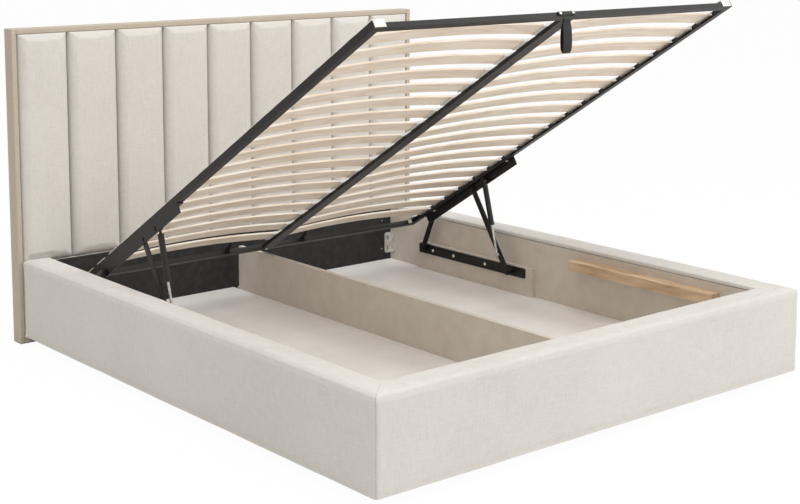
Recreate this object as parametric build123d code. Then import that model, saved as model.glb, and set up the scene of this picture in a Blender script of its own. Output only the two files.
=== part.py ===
from build123d import *
import math
import os

os.makedirs("parts", exist_ok=True)

# Upholstered bed whose slatted platform lifts on gas springs over two storage
# bays. Millimetres, X to the right seen from the foot, Y from foot to head,
# Z up, origin on the floor under the middle of the whole bed. The platform
# is modelled in its raised place.

# Bed box
BED_LENGTH = 2120.0            # foot face to headboard face
BED_WIDTH = 1886.0             # over the side rails
RAIL_TOP = 320.0
RAIL_BOTTOM = 28.0
RAIL_THICK = 112.0             # board and padding together
BOARD_THICK = 18.0
TOP_PAD = 16.0                 # padding over the boards' top edge
PAD_LIP = 3.0                  # how far the padding hangs past the board inside
PAD_CORNER = 13.0
PAD_CROWN = 3.0
PAD_TIP = 3.5                  # rounding of the seam edges at the foot corners
PAD_SKIN = 1.0                 # the plan stands this far outside the crowned faces
SEAM_GAP = 0.6
PAD_END_GAP = 4.0              # from the side pads to the headboard

# Headboard
HEADBOARD_OVERHANG = 14.0      # past the side rails
HEADBOARD_HEIGHT = 1190.0
HEADBOARD_THICK = 60.0
BORDER = 20.0                  # front width of the posts and the top rail
BORDER_CORNER = 3.0
BACKBOARD_THICK = 20.0
CHANNEL_COUNT = 9
CHANNEL_RECESS = 10.0          # from the border's face to a channel's edge
CHANNEL_CROWN = 26.0
CHANNEL_SHOULDER = 30.0        # rounded strip along each edge
CHANNEL_FLAT = 4.0             # how far the middle crowns over the shoulders
ROUND_SHARE = 0.3              # middle of a rounded corner, from its tip
CHANNEL_GAP = 1.0
CHANNEL_FOOT = 305.0           # lower end of the channels above the floor

# Storage box
FLOOR_TOP = 76.0
FLOOR_THICK = 6.0
PANEL_CLEAR = 0.5
CLEAT = 20.0
HEAD_PANEL_THICK = 15.0
HEAD_PANEL_TOP = 304.0
DIVIDER_THICK = 18.0
DIVIDER_TOP = 256.0
DIVIDER_END_GAP = 40.0         # head end of the divider to the head panel
BEARER_WIDTH = 58.0
FOOT_SIDE = 50.0               # side of a square foot
FOOT_ROUND = 8.0
FOOT_ROWS = 3

# Gear panel, batten and corner bracket on the side rails
GEAR_PANEL_THICK = 18.0
GEAR_PANEL_BACK = 226.0        # from the headboard's face
GEAR_PANEL_LENGTH = 710.0
GEAR_PANEL_TOP = 194.0
BATTEN_SETBACK = 144.0         # from the footboard inside
BATTEN_TO_GEAR = 236.0         # clear length up to the gear panel
BATTEN_DEPTH = 55.0
BATTEN_HEIGHT = 38.0
BATTEN_TOP = 275.0
BRACKET_LEG = 36.0
BRACKET_THICK = 3.0
BRACKET_LOW = 105.0
BRACKET_HEIGHT = 92.0
BRACKET_DOME = 12.0
BRACKET_SLOT_WIDTH = 6.0
BRACKET_SLOT_LENGTH = 20.0
BRACKET_HOLE = 7.0

# Platform
PLATFORM_FOOT_GAP = 11.0       # closed platform to the footboard
PLATFORM_HEAD_GAP = 4.0        # closed platform to the head panel
PLATFORM_SIDE_GAP = 47.0       # platform to each side rail, room for the gear
TILT = 31.3                    # degrees, raised
RAISED_HEAD_BACK = 231.4       # head end of the raised platform from the headboard
RAISED_HEAD_HEIGHT = 268.4     # its underside there above the floor
CLOSED_CLEAR = 0.5             # closed platform over the battens
ANGLE = 25.0                   # both legs of the steel angles
FOOT_LEG = 17.0                # upright leg of the foot angle, which is lower
ANGLE_THICK = 3.0
TEE_WIDTH = 50.0
TEE_HEIGHT = 20.0
TEE_LIP = 12.5                 # turned-up edges of the tee, under the slat caps
TEE_WEB_SETBACK = 78.0         # web stops this far from the foot end
CORNER_OPEN = 45.0             # foot angle's upright leg stops short at the corners
SLAT_COUNT = 18
SLAT_MARGIN = 118.0            # platform end to first slat's middle
SLAT_WIDTH = 60.0
SLAT_THICK = 7.0
SLAT_SEAT = 15.0               # slat's underside over the platform's underside
SLAT_BOW = 17.0
SLAT_CLEAR = 0.3
CAP_WIDTH = 66.0
CAP_REACH = 42.0
CAP_LOW = 12.5
CAP_HIGH = 28.0
CAP_HOOK = 2.5
CAP_POCKET = 32.0
CORNER_CAP_THICK = 3.0
HEAD_CAP_LENGTH = 42.0         # caps on the side angles' head ends
HEAD_CAP_WIDTH = 24.0

# Lifting gear
PLATE_START = 103.0            # upper plate from the platform's head end
PLATE_LENGTH = 627.0
PLATE_DROP = 36.0
PLATE_THICK = 4.0
PLATE_CUT = 12.0
LINK_THICK = 5.0
LINK_GAP = 0.5
LONG_LINK_WIDTH = 26.0
SHORT_LINK_WIDTH = 24.0
ARM_PIN_BACK = 443.0           # pins measured from the platform's head end
SHORT_PIN_BACK = 128.0
SPRING_PIN_BACK = 541.0
LINK_PIN_DROP = 20.0           # below the platform's underside
SPRING_PIN_DROP = 18.0
BASE_BAR_MIDDLE = 168.0        # height of the base bar's middle and pivots
BASE_BAR_HEIGHT = 40.0
BASE_BAR_THICK = 5.0
BASE_BAR_BACK = 242.0          # from the headboard's face
BASE_BAR_LENGTH = 656.0
BASE_BAR_ROUND = 6.0
PIN = 10.0
PIN_CLEAR = 0.05               # on the radius
PIN_HEAD = 17.0
PIN_HEAD_THICK = 3.0
FACE_GAP = 0.3
BOSS = 20.0
SCREW_HEAD = 12.0
SCREW_HEAD_THICK = 2.5
SCREW_HOLE = 6.0
SCREW_SHANK = 5.9
WOOD_SCREW_LENGTH = 14.0
BAR_SCREW_SHARES = (0.14, 0.343, 0.642)        # of the bar, from its head end

# Gas springs
SPRING_EYE = 18.0
SPRING_EYE_THICK = 10.4
SPRING_FITTING_REACH = 79.0    # lower fitting from the long link's base pivot
CYLINDER = 22.0
CYLINDER_BORE = 16.0
CYLINDER_START = 20.0          # from the top pin
CYLINDER_END = 180.0
CYLINDER_CAP = 10.0
ROD = 10.0
ROD_INSET = 37.0               # length of rod inside the cylinder at full reach
COLLAR = 24.0
COLLAR_LENGTH = 8.0
EYE_NECK = 10.0

# Stepped brackets, tee bolt and pull strap
STEP_BRACKET_PLACE = 180.0     # from the middle
STEP_BRACKET_THICK = 5.0
STEP_BRACKET_HEIGHT = 24.0
STEP_BRACKET_DEPTH = 62.0
STRAP_PLACE = -29.0            # middle of the webbing, beside the divider
STRAP_WIDTH = 38.0
STRAP_THICK = 2.4
STRAP_DROP = 112.0
STRAP_LOOP = 14.0              # widest opening between the two plies
STRAP_TIP_SHARE = 0.16         # where the plies part, along the drop
STRAP_WAIST_SHARE = 0.62       # where they are widest apart
STRAP_PART_SHARE = 0.38        # opening half way between those two
STRAP_PLATE_PLACE = -22.5
STRAP_PLATE_LENGTH = 75.0
STRAP_PLATE_HEIGHT = 12.0
STRAP_PLATE_THICK = 2.0
STRAP_BOLT_SPAN = 56.0
STRAP_BOLT_HEAD = 9.0
STRAP_BOLT_THICK = 2.5

OVERRUN = 10.0                 # cutters run past a face by this much

# Places worked out from the sizes
FOOT_FACE = -(BED_LENGTH + HEADBOARD_THICK) / 2
HEAD_FACE = FOOT_FACE + BED_LENGTH
HEAD_BACK = HEAD_FACE + HEADBOARD_THICK
HEADBOARD_WIDTH = BED_WIDTH + 2 * HEADBOARD_OVERHANG
RAIL_X = BED_WIDTH / 2
INNER_X = RAIL_X - RAIL_THICK
BOARD_X = INNER_X + BOARD_THICK
BOARD_TOP = RAIL_TOP - TOP_PAD
INNER_FOOT = FOOT_FACE + RAIL_THICK
PANEL_FACE = HEAD_FACE - HEAD_PANEL_THICK
FIELD_X = HEADBOARD_WIDTH / 2 - BORDER
PLATFORM_X = INNER_X - PLATFORM_SIDE_GAP
PLATFORM_LENGTH = PANEL_FACE - PLATFORM_HEAD_GAP - INNER_FOOT - PLATFORM_FOOT_GAP
CLOSED_START = INNER_FOOT + PLATFORM_FOOT_GAP
GEAR_PANEL_START = HEAD_FACE - GEAR_PANEL_BACK - GEAR_PANEL_LENGTH
BATTEN_START = INNER_FOOT + BATTEN_SETBACK
BATTEN_END = GEAR_PANEL_START - BATTEN_TO_GEAR
CLOSED_HEIGHT = BATTEN_TOP + CLOSED_CLEAR
GEAR_FACE_X = INNER_X - GEAR_PANEL_THICK
BAR_FACE_X = GEAR_FACE_X - BASE_BAR_THICK
PLATE_X = PLATFORM_X - PLATE_THICK
LINK_X = PLATE_X - LINK_GAP - LINK_THICK
SHORT_LINK_X = PLATFORM_X + PIN_HEAD_THICK + LINK_GAP
SPRING_X = LINK_X - FACE_GAP * 2 - CYLINDER / 2 - PIN_HEAD_THICK / 3
ARM_PIN = (PLATFORM_LENGTH - ARM_PIN_BACK, -LINK_PIN_DROP)
SHORT_PIN = (PLATFORM_LENGTH - SHORT_PIN_BACK, -LINK_PIN_DROP)
SPRING_PIN = (PLATFORM_LENGTH - SPRING_PIN_BACK, -SPRING_PIN_DROP)
STRAP_PIN = (-STRAP_THICK, -STRAP_THICK - FACE_GAP)
COS_TILT = math.cos(math.radians(TILT))
SIN_TILT = math.sin(math.radians(TILT))
RAISED_START = HEAD_FACE - RAISED_HEAD_BACK - PLATFORM_LENGTH * COS_TILT
RAISED_HEIGHT = RAISED_HEAD_HEIGHT + PLATFORM_LENGTH * SIN_TILT
SIDES = {"left": -1, "right": 1}


def block(x0, x1, y0, y1, z0, z1):
    """Box between two corners, given in any order."""
    middle = ((x0 + x1) / 2, (y0 + y1) / 2, (z0 + z1) / 2)
    return Pos(*middle) * Box(abs(x1 - x0), abs(y1 - y0), abs(z1 - z0))


def rod_x(x0, x1, y, z, radius):
    """Round bar along X between two places."""
    turned = Rot(0, 90, 0) * Cylinder(radius, abs(x1 - x0))
    return Pos((x0 + x1) / 2, y, z) * turned


def along_x(outline, x0, x1):
    """Solid between two X places whose outline is given in Y and Z."""
    face = Plane.YZ * (outline if isinstance(outline, Sketch) else make_face(outline))
    return Pos(x0, 0, 0) * extrude(face, x1 - x0, dir=(1, 0, 0))


def along_y(outline, y0, y1):
    """Solid between two Y places whose outline is given in X and Z."""
    face = Plane.XZ * (outline if isinstance(outline, Sketch) else make_face(outline))
    return Pos(0, y0, 0) * extrude(face, y1 - y0, dir=(0, 1, 0))


def along_z(outline, z0, z1):
    """Solid between two heights whose outline is given in X and Y."""
    face = outline if isinstance(outline, Sketch) else make_face(outline)
    return Pos(0, 0, z0) * extrude(face, z1 - z0, dir=(0, 0, 1))


def mirrored(shape, side):
    """The shape itself on the right, its mirror image on the left."""
    return shape if side > 0 else mirror(shape, about=Plane.YZ)


def both_sides(shapes):
    """Shapes of the right side together with their mirror images."""
    return Compound([mirrored(shape, side) for side in SIDES.values() for shape in shapes])


def rounded(shape, axis, radius):
    """Shape with all its straight edges along one axis rounded."""
    return fillet(shape.edges().filter_by(axis), radius)


def save(shape, node):
    """Write one named piece."""
    export_step(shape, f"parts/{node}.step")


def crowned_outline(x0, x1, z0, z1, corner, crown):
    """Closed outline with rounded corners and four gently bowed sides."""
    xm, zm = (x0 + x1) / 2, (z0 + z1) / 2
    inset = corner + crown
    half_turn_share = math.sqrt(0.5)
    pull = corner * (1 - half_turn_share)
    corners = []
    for sx, sz in ((1, -1), (1, 1), (-1, 1), (-1, -1)):
        cx = x1 - crown if sx > 0 else x0 + crown
        cz = z1 - crown if sz > 0 else z0 + crown
        upright = (cx, cz - sz * corner)
        level = (cx - sx * corner, cz)
        middle = (cx - sx * pull, cz - sz * pull)
        corners.append((upright, middle, level))
    (ru, rm, rl), (tu, tm, tl), (lu, lm, ll), (bu, bm, bl) = corners
    return [
        ThreePointArc(rl, rm, ru),
        ThreePointArc(ru, (x1, zm), tu),
        ThreePointArc(tu, tm, tl),
        ThreePointArc(tl, (xm, z1), ll),
        ThreePointArc(ll, lm, lu),
        ThreePointArc(lu, (x0, zm), bu),
        ThreePointArc(bu, bm, bl),
        ThreePointArc(bl, (xm, z0), rl),
    ]


def seam_plan(end):
    """Plan of the right side pad, mitred at the foot, its outer corners rounded."""
    gap = SEAM_GAP / 2 * math.sqrt(2)
    x_in = INNER_X - PAD_LIP - OVERRUN
    x_out = RAIL_X + PAD_SKIN
    y_in = FOOT_FACE + (RAIL_X - x_in) + gap
    y_out = FOOT_FACE + (RAIL_X - x_out) + gap
    plan = make_face(Polyline((x_out, y_out), (x_out, end), (x_in, end), (x_in, y_in), close=True))
    return fillet(plan.vertices().group_by(Axis.X)[-1], PAD_TIP)


def side_pad():
    """Padding of the right rail: crowned section, cut to the mitre."""
    end = HEAD_FACE - PAD_END_GAP
    outline = crowned_outline(INNER_X - PAD_LIP, RAIL_X, RAIL_BOTTOM, RAIL_TOP, PAD_CORNER, PAD_CROWN)
    bar = along_y(outline, FOOT_FACE - OVERRUN, end)
    bar -= block(INNER_X - PAD_LIP - OVERRUN, BOARD_X, FOOT_FACE - OVERRUN * 2, end + OVERRUN,
                 RAIL_BOTTOM - OVERRUN, BOARD_TOP)
    return bar & along_z(seam_plan(end), 0, RAIL_TOP + OVERRUN)


def foot_pad():
    """Padding of the footboard between the two mitres."""
    outline = crowned_outline(FOOT_FACE, INNER_FOOT + PAD_LIP, RAIL_BOTTOM, RAIL_TOP, PAD_CORNER,
                              PAD_CROWN)
    bar = along_x(outline, -RAIL_X - OVERRUN, RAIL_X + OVERRUN)
    bar -= block(-RAIL_X - OVERRUN * 2, RAIL_X + OVERRUN * 2, INNER_FOOT - BOARD_THICK,
                 INNER_FOOT + PAD_LIP + OVERRUN, RAIL_BOTTOM - OVERRUN, BOARD_TOP)
    gap = SEAM_GAP / 2 * math.sqrt(2)
    depth = RAIL_THICK + PAD_LIP + OVERRUN
    wide = RAIL_X - gap + PAD_SKIN
    narrow = RAIL_X - gap - depth
    plan = make_face(Polyline((-wide, FOOT_FACE - PAD_SKIN), (wide, FOOT_FACE - PAD_SKIN),
                              (narrow, FOOT_FACE + depth), (-narrow, FOOT_FACE + depth), close=True))
    plan = fillet(plan.vertices().group_by(Axis.Y)[0], PAD_TIP)
    return bar & along_z(plan, 0, RAIL_TOP + OVERRUN)


def box_boards():
    """Boards under the padding and the panels of the storage box."""
    for name, side in SIDES.items():
        board = block(INNER_X, BOARD_X, INNER_FOOT, HEAD_FACE, RAIL_BOTTOM, BOARD_TOP)
        for y, z in bracket_screw_places():
            board -= rod_x(INNER_X, INNER_X + WOOD_SCREW_LENGTH, y, z, SCREW_HOLE / 2)
        save(mirrored(board, side), f"rail_board_{name}")
        save(mirrored(side_pad(), side), f"rail_pad_{name}")
    foot = block(-BOARD_X, BOARD_X, INNER_FOOT - BOARD_THICK, INNER_FOOT, RAIL_BOTTOM, BOARD_TOP)
    save(foot, "footboard_board")
    save(foot_pad(), "footboard_pad")
    low = FLOOR_TOP - FLOOR_THICK
    head = block(-INNER_X, INNER_X, PANEL_FACE, HEAD_FACE, low - CLEAT, HEAD_PANEL_TOP)
    save(head - bolt_holes(), "head_panel")
    divider = block(-DIVIDER_THICK / 2, DIVIDER_THICK / 2, INNER_FOOT, PANEL_FACE - DIVIDER_END_GAP,
                    low - CLEAT, DIVIDER_TOP)
    save(divider, "divider_board")
    for name, side in SIDES.items():
        panel = block(DIVIDER_THICK / 2 + PANEL_CLEAR, INNER_X - PANEL_CLEAR, INNER_FOOT + PANEL_CLEAR,
                      PANEL_FACE - PANEL_CLEAR, low, FLOOR_TOP)
        save(mirrored(panel, side), f"floor_panel_{name}")
    cleats = [block(start, start + CLEAT, INNER_FOOT, PANEL_FACE, low - CLEAT, low)
              for start in (DIVIDER_THICK / 2, INNER_X - CLEAT)]
    save(both_sides(cleats), "floor_cleats")
    bearer = block(-BEARER_WIDTH / 2, BEARER_WIDTH / 2, INNER_FOOT, PANEL_FACE, RAIL_BOTTOM, low - CLEAT)
    save(bearer, "centre_bearer")


def feet():
    """Nine square feet: three rows of three, under the boards and the bearer."""
    half = FOOT_SIDE / 2
    first = INNER_FOOT + half
    last = PANEL_FACE - half
    group = []
    for x in (-BOARD_X + half, 0, BOARD_X - half):
        for number in range(FOOT_ROWS):
            y = first + (last - first) * number / (FOOT_ROWS - 1)
            foot = block(x - half, x + half, y - half, y + half, 0, RAIL_BOTTOM)
            group.append(rounded(foot, Axis.Z, FOOT_ROUND))
    save(Compound(group), "feet")


def headboard():
    """Wrapped border, back board, lower panel and nine padded channels."""
    half = HEADBOARD_WIDTH / 2
    post = block(FIELD_X, half, HEAD_FACE, HEAD_BACK, 0, HEADBOARD_HEIGHT)
    post = rounded(post, Axis.Z, BORDER_CORNER)
    for name, side in SIDES.items():
        save(mirrored(post, side), f"headboard_post_{name}")
    top = block(-FIELD_X, FIELD_X, HEAD_FACE, HEAD_BACK, HEADBOARD_HEIGHT - BORDER, HEADBOARD_HEIGHT)
    save(rounded(top, Axis.X, BORDER_CORNER), "headboard_top_rail")
    field_top = HEADBOARD_HEIGHT - BORDER
    back_face = HEAD_BACK - BACKBOARD_THICK
    back = block(-FIELD_X, FIELD_X, back_face, HEAD_BACK, 0, field_top)
    lower = block(-FIELD_X, FIELD_X, HEAD_FACE, back_face, 0, CHANNEL_FOOT)
    sink = Rot(90, 0, 0) * Cylinder(PIN_HEAD / 2 + FACE_GAP, PIN_HEAD_THICK * 2)
    for x, z in bolt_places():
        back -= Pos(x, HEAD_BACK, z) * sink
    save(back - bolt_holes(), "headboard_back_board")
    save(lower - bolt_holes(), "headboard_lower_panel")
    pitch = 2 * FIELD_X / CHANNEL_COUNT
    half = (pitch - CHANNEL_GAP) / 2
    front = HEAD_FACE + CHANNEL_RECESS - CHANNEL_CROWN
    shoulder = (half - CHANNEL_SHOULDER, front + CHANNEL_FLAT)
    edge = (half, HEAD_FACE + CHANNEL_RECESS)
    bend = (half - CHANNEL_SHOULDER * ROUND_SHARE, front + CHANNEL_FLAT
            + (CHANNEL_CROWN - CHANNEL_FLAT) * ROUND_SHARE)
    plan = [
        Polyline((-edge[0], edge[1]), (-half, back_face), (half, back_face), edge),
        ThreePointArc(edge, bend, shoulder),
        ThreePointArc(shoulder, (0, front), (-shoulder[0], shoulder[1])),
        ThreePointArc((-shoulder[0], shoulder[1]), (-bend[0], bend[1]), (-edge[0], edge[1])),
    ]
    top = HEADBOARD_HEIGHT - BORDER - CHANNEL_GAP
    upright = along_z(plan, CHANNEL_FOOT, top)
    skin = front - PAD_SKIN
    low, high = CHANNEL_FOOT + CHANNEL_SHOULDER, top - CHANNEL_SHOULDER
    deep = HEAD_FACE + CHANNEL_RECESS
    pull = (skin + (deep - skin) * ROUND_SHARE, CHANNEL_SHOULDER * ROUND_SHARE)
    profile = [
        Line((skin, low), (skin, high)),
        ThreePointArc((skin, high), (pull[0], top - pull[1]), (deep, top)),
        Polyline((deep, top), (back_face, top), (back_face, CHANNEL_FOOT), (deep, CHANNEL_FOOT)),
        ThreePointArc((deep, CHANNEL_FOOT), (pull[0], CHANNEL_FOOT + pull[1]), (skin, low)),
    ]
    channel = upright & along_x(profile, -half - OVERRUN, half + OVERRUN)
    # The rails' ends press into the outermost channels.
    dent = block(INNER_X - CHANNEL_GAP, HEADBOARD_WIDTH / 2, front - OVERRUN,
                 HEAD_FACE - PAD_END_GAP + CHANNEL_GAP, CHANNEL_FOOT - OVERRUN, RAIL_TOP + CHANNEL_GAP)
    dents = both_sides([dent])
    row = [Pos(pitch * (number - (CHANNEL_COUNT - 1) / 2), 0, 0) * channel
           for number in range(CHANNEL_COUNT)]
    save(Compound([row[0] - dents] + row[1:-1] + [row[-1] - dents]), "headboard_channels")


def bolt_places():
    """X and Z of the bolts that hold the headboard to the head panel."""
    half = INNER_X - FOOT_SIDE
    return [(x, z) for x in (-half, half) for z in (FLOOR_TOP + FOOT_SIDE, HEAD_PANEL_TOP - FOOT_SIDE)]


def bolt_holes():
    """Holes for those bolts through the headboard and the head panel."""
    reach = HEADBOARD_THICK + HEAD_PANEL_THICK + OVERRUN
    hole = Rot(90, 0, 0) * Cylinder(SCREW_HOLE / 2, reach * 2)
    return Compound([Pos(x, HEAD_FACE, z) * hole for x, z in bolt_places()])


def headboard_bolts():
    """Four bolts through the headboard into the head panel."""
    seat = HEAD_BACK - PIN_HEAD_THICK
    shank = Rot(90, 0, 0) * Cylinder(SCREW_SHANK / 2, seat - PANEL_FACE)
    head = Rot(90, 0, 0) * Cylinder(PIN_HEAD / 2, PIN_HEAD_THICK)
    bolt = Pos(0, (seat + PANEL_FACE) / 2, 0) * shank
    bolt += Pos(0, HEAD_BACK - PIN_HEAD_THICK / 2, 0) * head
    save(Compound([Pos(x, 0, z) * bolt for x, z in bolt_places()]), "headboard_bolts")


def gear_mounts():
    """Mounting panel, batten and corner bracket of each side."""
    panel = block(GEAR_FACE_X, INNER_X, GEAR_PANEL_START, GEAR_PANEL_START + GEAR_PANEL_LENGTH,
                  FLOOR_TOP, GEAR_PANEL_TOP)
    batten = block(INNER_X - BATTEN_DEPTH, INNER_X, BATTEN_START, BATTEN_END,
                   BATTEN_TOP - BATTEN_HEIGHT, BATTEN_TOP)
    top = BRACKET_LOW + BRACKET_HEIGHT
    rail_leg = block(INNER_X - BRACKET_THICK, INNER_X, PANEL_FACE - BRACKET_LEG, PANEL_FACE,
                     BRACKET_LOW, top)
    near = rail_leg.edges().filter_by(Axis.X).group_by(Axis.Y)[0]
    rail_leg = fillet(near, BRACKET_DOME)
    head_leg = block(INNER_X - BRACKET_LEG, INNER_X, PANEL_FACE - BRACKET_THICK, PANEL_FACE,
                     BRACKET_LOW, top)
    near = head_leg.edges().filter_by(Axis.Y).group_by(Axis.X)[0]
    head_leg = fillet(near, BRACKET_DOME)
    bracket = rail_leg + head_leg
    middle = BRACKET_LOW + BRACKET_HEIGHT / 2
    quarter = BRACKET_HEIGHT / 4
    slot_x = INNER_X - BRACKET_LEG / 2
    hole_y = PANEL_FACE - BRACKET_LEG / 2
    for z in (middle - quarter, middle + quarter):
        slot = Pos(slot_x, z) * SlotOverall(BRACKET_SLOT_LENGTH, BRACKET_SLOT_WIDTH, rotation=90)
        bracket -= along_y(slot, PANEL_FACE - OVERRUN, PANEL_FACE + OVERRUN)
        for step in (-BRACKET_HOLE, BRACKET_HOLE):
            bracket -= rod_x(INNER_X - OVERRUN, INNER_X + OVERRUN, hole_y + step, z + step,
                             BRACKET_HOLE / 2)
    screws = []
    for y, z in bracket_screw_places():
        head = rod_x(INNER_X - BRACKET_THICK - SCREW_HEAD_THICK, INNER_X - BRACKET_THICK, y, z,
                     SCREW_HEAD / 2)
        shank = rod_x(INNER_X - BRACKET_THICK, INNER_X + WOOD_SCREW_LENGTH, y, z, SCREW_SHANK / 2)
        screws.append(head + shank)
    for name, side in SIDES.items():
        save(mirrored(panel, side), f"gear_panel_{name}")
        save(mirrored(batten, side), f"batten_{name}")
    save(both_sides([bracket]), "corner_brackets")
    save(both_sides(screws), "bracket_screws")


def bracket_screw_places():
    """Y and Z of the screws that hold the corner bracket to the rail board."""
    middle = BRACKET_LOW + BRACKET_HEIGHT / 2
    quarter = BRACKET_HEIGHT / 4
    y = PANEL_FACE - BRACKET_LEG / 2 + BRACKET_HOLE
    return [(y, z + BRACKET_HOLE) for z in (middle - quarter, middle + quarter)]


def to_raised(shape):
    """Carry a shape from the platform's own frame to its raised place."""
    place = Pos(0, RAISED_START, RAISED_HEIGHT)
    return place * Rot(-TILT, 0, 0) * shape


def raised(along, up):
    """Y and Z of a platform point in the raised pose."""
    y = RAISED_START + along * COS_TILT + up * SIN_TILT
    return y, RAISED_HEIGHT - along * SIN_TILT + up * COS_TILT


def closed(along, up):
    """Y and Z of a platform point in the closed pose."""
    return CLOSED_START + along, CLOSED_HEIGHT + up


def base_pivot(pin):
    """Base pivot at the bar's middle, as far from the pin raised as closed."""
    (y0, z0), (y1, z1) = raised(*pin), closed(*pin)
    slope = (z1 - z0) / (y1 - y0)
    return (y0 + y1) / 2 - (BASE_BAR_MIDDLE - (z0 + z1) / 2) * slope, BASE_BAR_MIDDLE


def span(start, end):
    """Length and angle in degrees of the line between two Y and Z places."""
    dy, dz = end[0] - start[0], end[1] - start[1]
    return math.hypot(dy, dz), math.degrees(math.atan2(dz, dy))


ARM_BASE = base_pivot(ARM_PIN)
SHORT_BASE = base_pivot(SHORT_PIN)
ARM_LENGTH, ARM_ANGLE = span(ARM_BASE, raised(*ARM_PIN))
SHORT_LENGTH, SHORT_ANGLE = span(SHORT_BASE, raised(*SHORT_PIN))
FITTING = (ARM_BASE[0] + SPRING_FITTING_REACH * math.cos(math.radians(ARM_ANGLE)),
           ARM_BASE[1] + SPRING_FITTING_REACH * math.sin(math.radians(ARM_ANGLE)))
SPRING_LENGTH, SPRING_ANGLE = span(raised(*SPRING_PIN), FITTING)


def flat_link(x, length, width, hole_ends):
    """Round-ended flat bar from the origin along Y, with pin holes."""
    bar = block(x, x + LINK_THICK, 0, length, -width / 2, width / 2)
    for y in (0, length):
        bar += rod_x(x, x + LINK_THICK, y, 0, width / 2)
    for y in hole_ends:
        bar -= rod_x(x - OVERRUN, x + LINK_THICK + OVERRUN, y, 0, PIN / 2 + PIN_CLEAR)
    return bar


def laid(shape, place, angle):
    """Turn a shape about X and carry its origin to a Y and Z place."""
    return Pos(0, place[0], place[1]) * Rot(angle, 0, 0) * shape


def base_gear():
    """Base bars with their screws and the pivot studs they carry."""
    low = BASE_BAR_MIDDLE - BASE_BAR_HEIGHT / 2
    head_end = HEAD_FACE - BASE_BAR_BACK
    bar = block(BAR_FACE_X, GEAR_FACE_X, head_end - BASE_BAR_LENGTH, head_end, low,
                low + BASE_BAR_HEIGHT)
    bar = rounded(bar, Axis.X, BASE_BAR_ROUND)
    screws = []
    for share in BAR_SCREW_SHARES:
        y = head_end - BASE_BAR_LENGTH * share
        bar -= rod_x(BAR_FACE_X - OVERRUN, GEAR_FACE_X + OVERRUN, y, BASE_BAR_MIDDLE, SCREW_HOLE / 2)
        head = rod_x(BAR_FACE_X - SCREW_HEAD_THICK, BAR_FACE_X, y, BASE_BAR_MIDDLE, SCREW_HEAD / 2)
        shank = rod_x(BAR_FACE_X, GEAR_FACE_X, y, BASE_BAR_MIDDLE, SCREW_SHANK / 2)
        screws.append(head + shank)
    studs = []
    for x, (y, z) in ((LINK_X, ARM_BASE), (SHORT_LINK_X, SHORT_BASE)):
        boss = rod_x(x + LINK_THICK + FACE_GAP, BAR_FACE_X, y, z, BOSS / 2)
        shank = rod_x(x - FACE_GAP, x + LINK_THICK + FACE_GAP, y, z, PIN / 2)
        head = rod_x(x - FACE_GAP - PIN_HEAD_THICK, x - FACE_GAP, y, z, PIN_HEAD / 2)
        studs.append(boss + shank + head)
    for name, side in SIDES.items():
        save(mirrored(bar, side), f"base_bar_{name}")
    save(both_sides(screws), "base_bar_screws")
    save(both_sides(studs), "base_pivot_studs")


def links():
    """Long links with their spring studs, and short links with their rivets."""
    long_link = flat_link(LINK_X, ARM_LENGTH, LONG_LINK_WIDTH, (0, ARM_LENGTH))
    long_link = laid(long_link, ARM_BASE, ARM_ANGLE)
    stud = rod_x(SPRING_X + SPRING_EYE_THICK / 2 + FACE_GAP, LINK_X, FITTING[0], FITTING[1], PIN / 2)
    short = flat_link(SHORT_LINK_X, SHORT_LENGTH, SHORT_LINK_WIDTH, (0,))
    short = laid(short, SHORT_BASE, SHORT_ANGLE)
    y, z = raised(*SHORT_PIN)
    outer = SHORT_LINK_X + LINK_THICK
    rivet = rod_x(outer, outer + PIN_HEAD_THICK, y, z, PIN_HEAD / 2)
    for name, side in SIDES.items():
        save(mirrored(long_link, side), f"long_link_{name}")
        save(mirrored(short, side), f"short_link_{name}")
    save(both_sides([stud]), "spring_studs")
    save(both_sides([rivet]), "short_link_rivets")


def gas_springs():
    """Cylinder with its top eye, and rod with its lower eye."""
    bore_start = CYLINDER_START + CYLINDER_CAP
    collar_start = CYLINDER_END - CYLINDER_CAP
    along_y = Rot(-90, 0, 0)

    def turned(radius, start, end):
        """Round bar along Y at the spring's plane."""
        return Pos(SPRING_X, (start + end) / 2, 0) * along_y * Cylinder(radius, end - start)

    tube = turned(CYLINDER / 2, CYLINDER_START, CYLINDER_END)
    tube += turned(COLLAR / 2, CYLINDER_END, CYLINDER_END + COLLAR_LENGTH)
    tube += turned(EYE_NECK / 2, 0, CYLINDER_START)
    tube += rod_x(SPRING_X - SPRING_EYE_THICK / 2, SPRING_X + SPRING_EYE_THICK / 2, 0, 0, SPRING_EYE / 2)
    tube -= turned(CYLINDER_BORE / 2, bore_start, collar_start)
    tube -= turned(ROD / 2 + PIN_CLEAR, collar_start, CYLINDER_END + COLLAR_LENGTH + OVERRUN)
    tube -= rod_x(SPRING_X - EYE_NECK, SPRING_X + EYE_NECK, 0, 0, PIN / 2 + PIN_CLEAR)
    rod = turned(ROD / 2, CYLINDER_END - ROD_INSET, SPRING_LENGTH)
    eye = rod_x(SPRING_X - SPRING_EYE_THICK / 2, SPRING_X + SPRING_EYE_THICK / 2, SPRING_LENGTH, 0,
                SPRING_EYE / 2)
    top = raised(*SPRING_PIN)
    for name, side in SIDES.items():
        save(mirrored(laid(tube, top, SPRING_ANGLE), side), f"gas_cylinder_{name}")
        save(mirrored(laid(rod + eye, top, SPRING_ANGLE), side), f"gas_rod_{name}")


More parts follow.
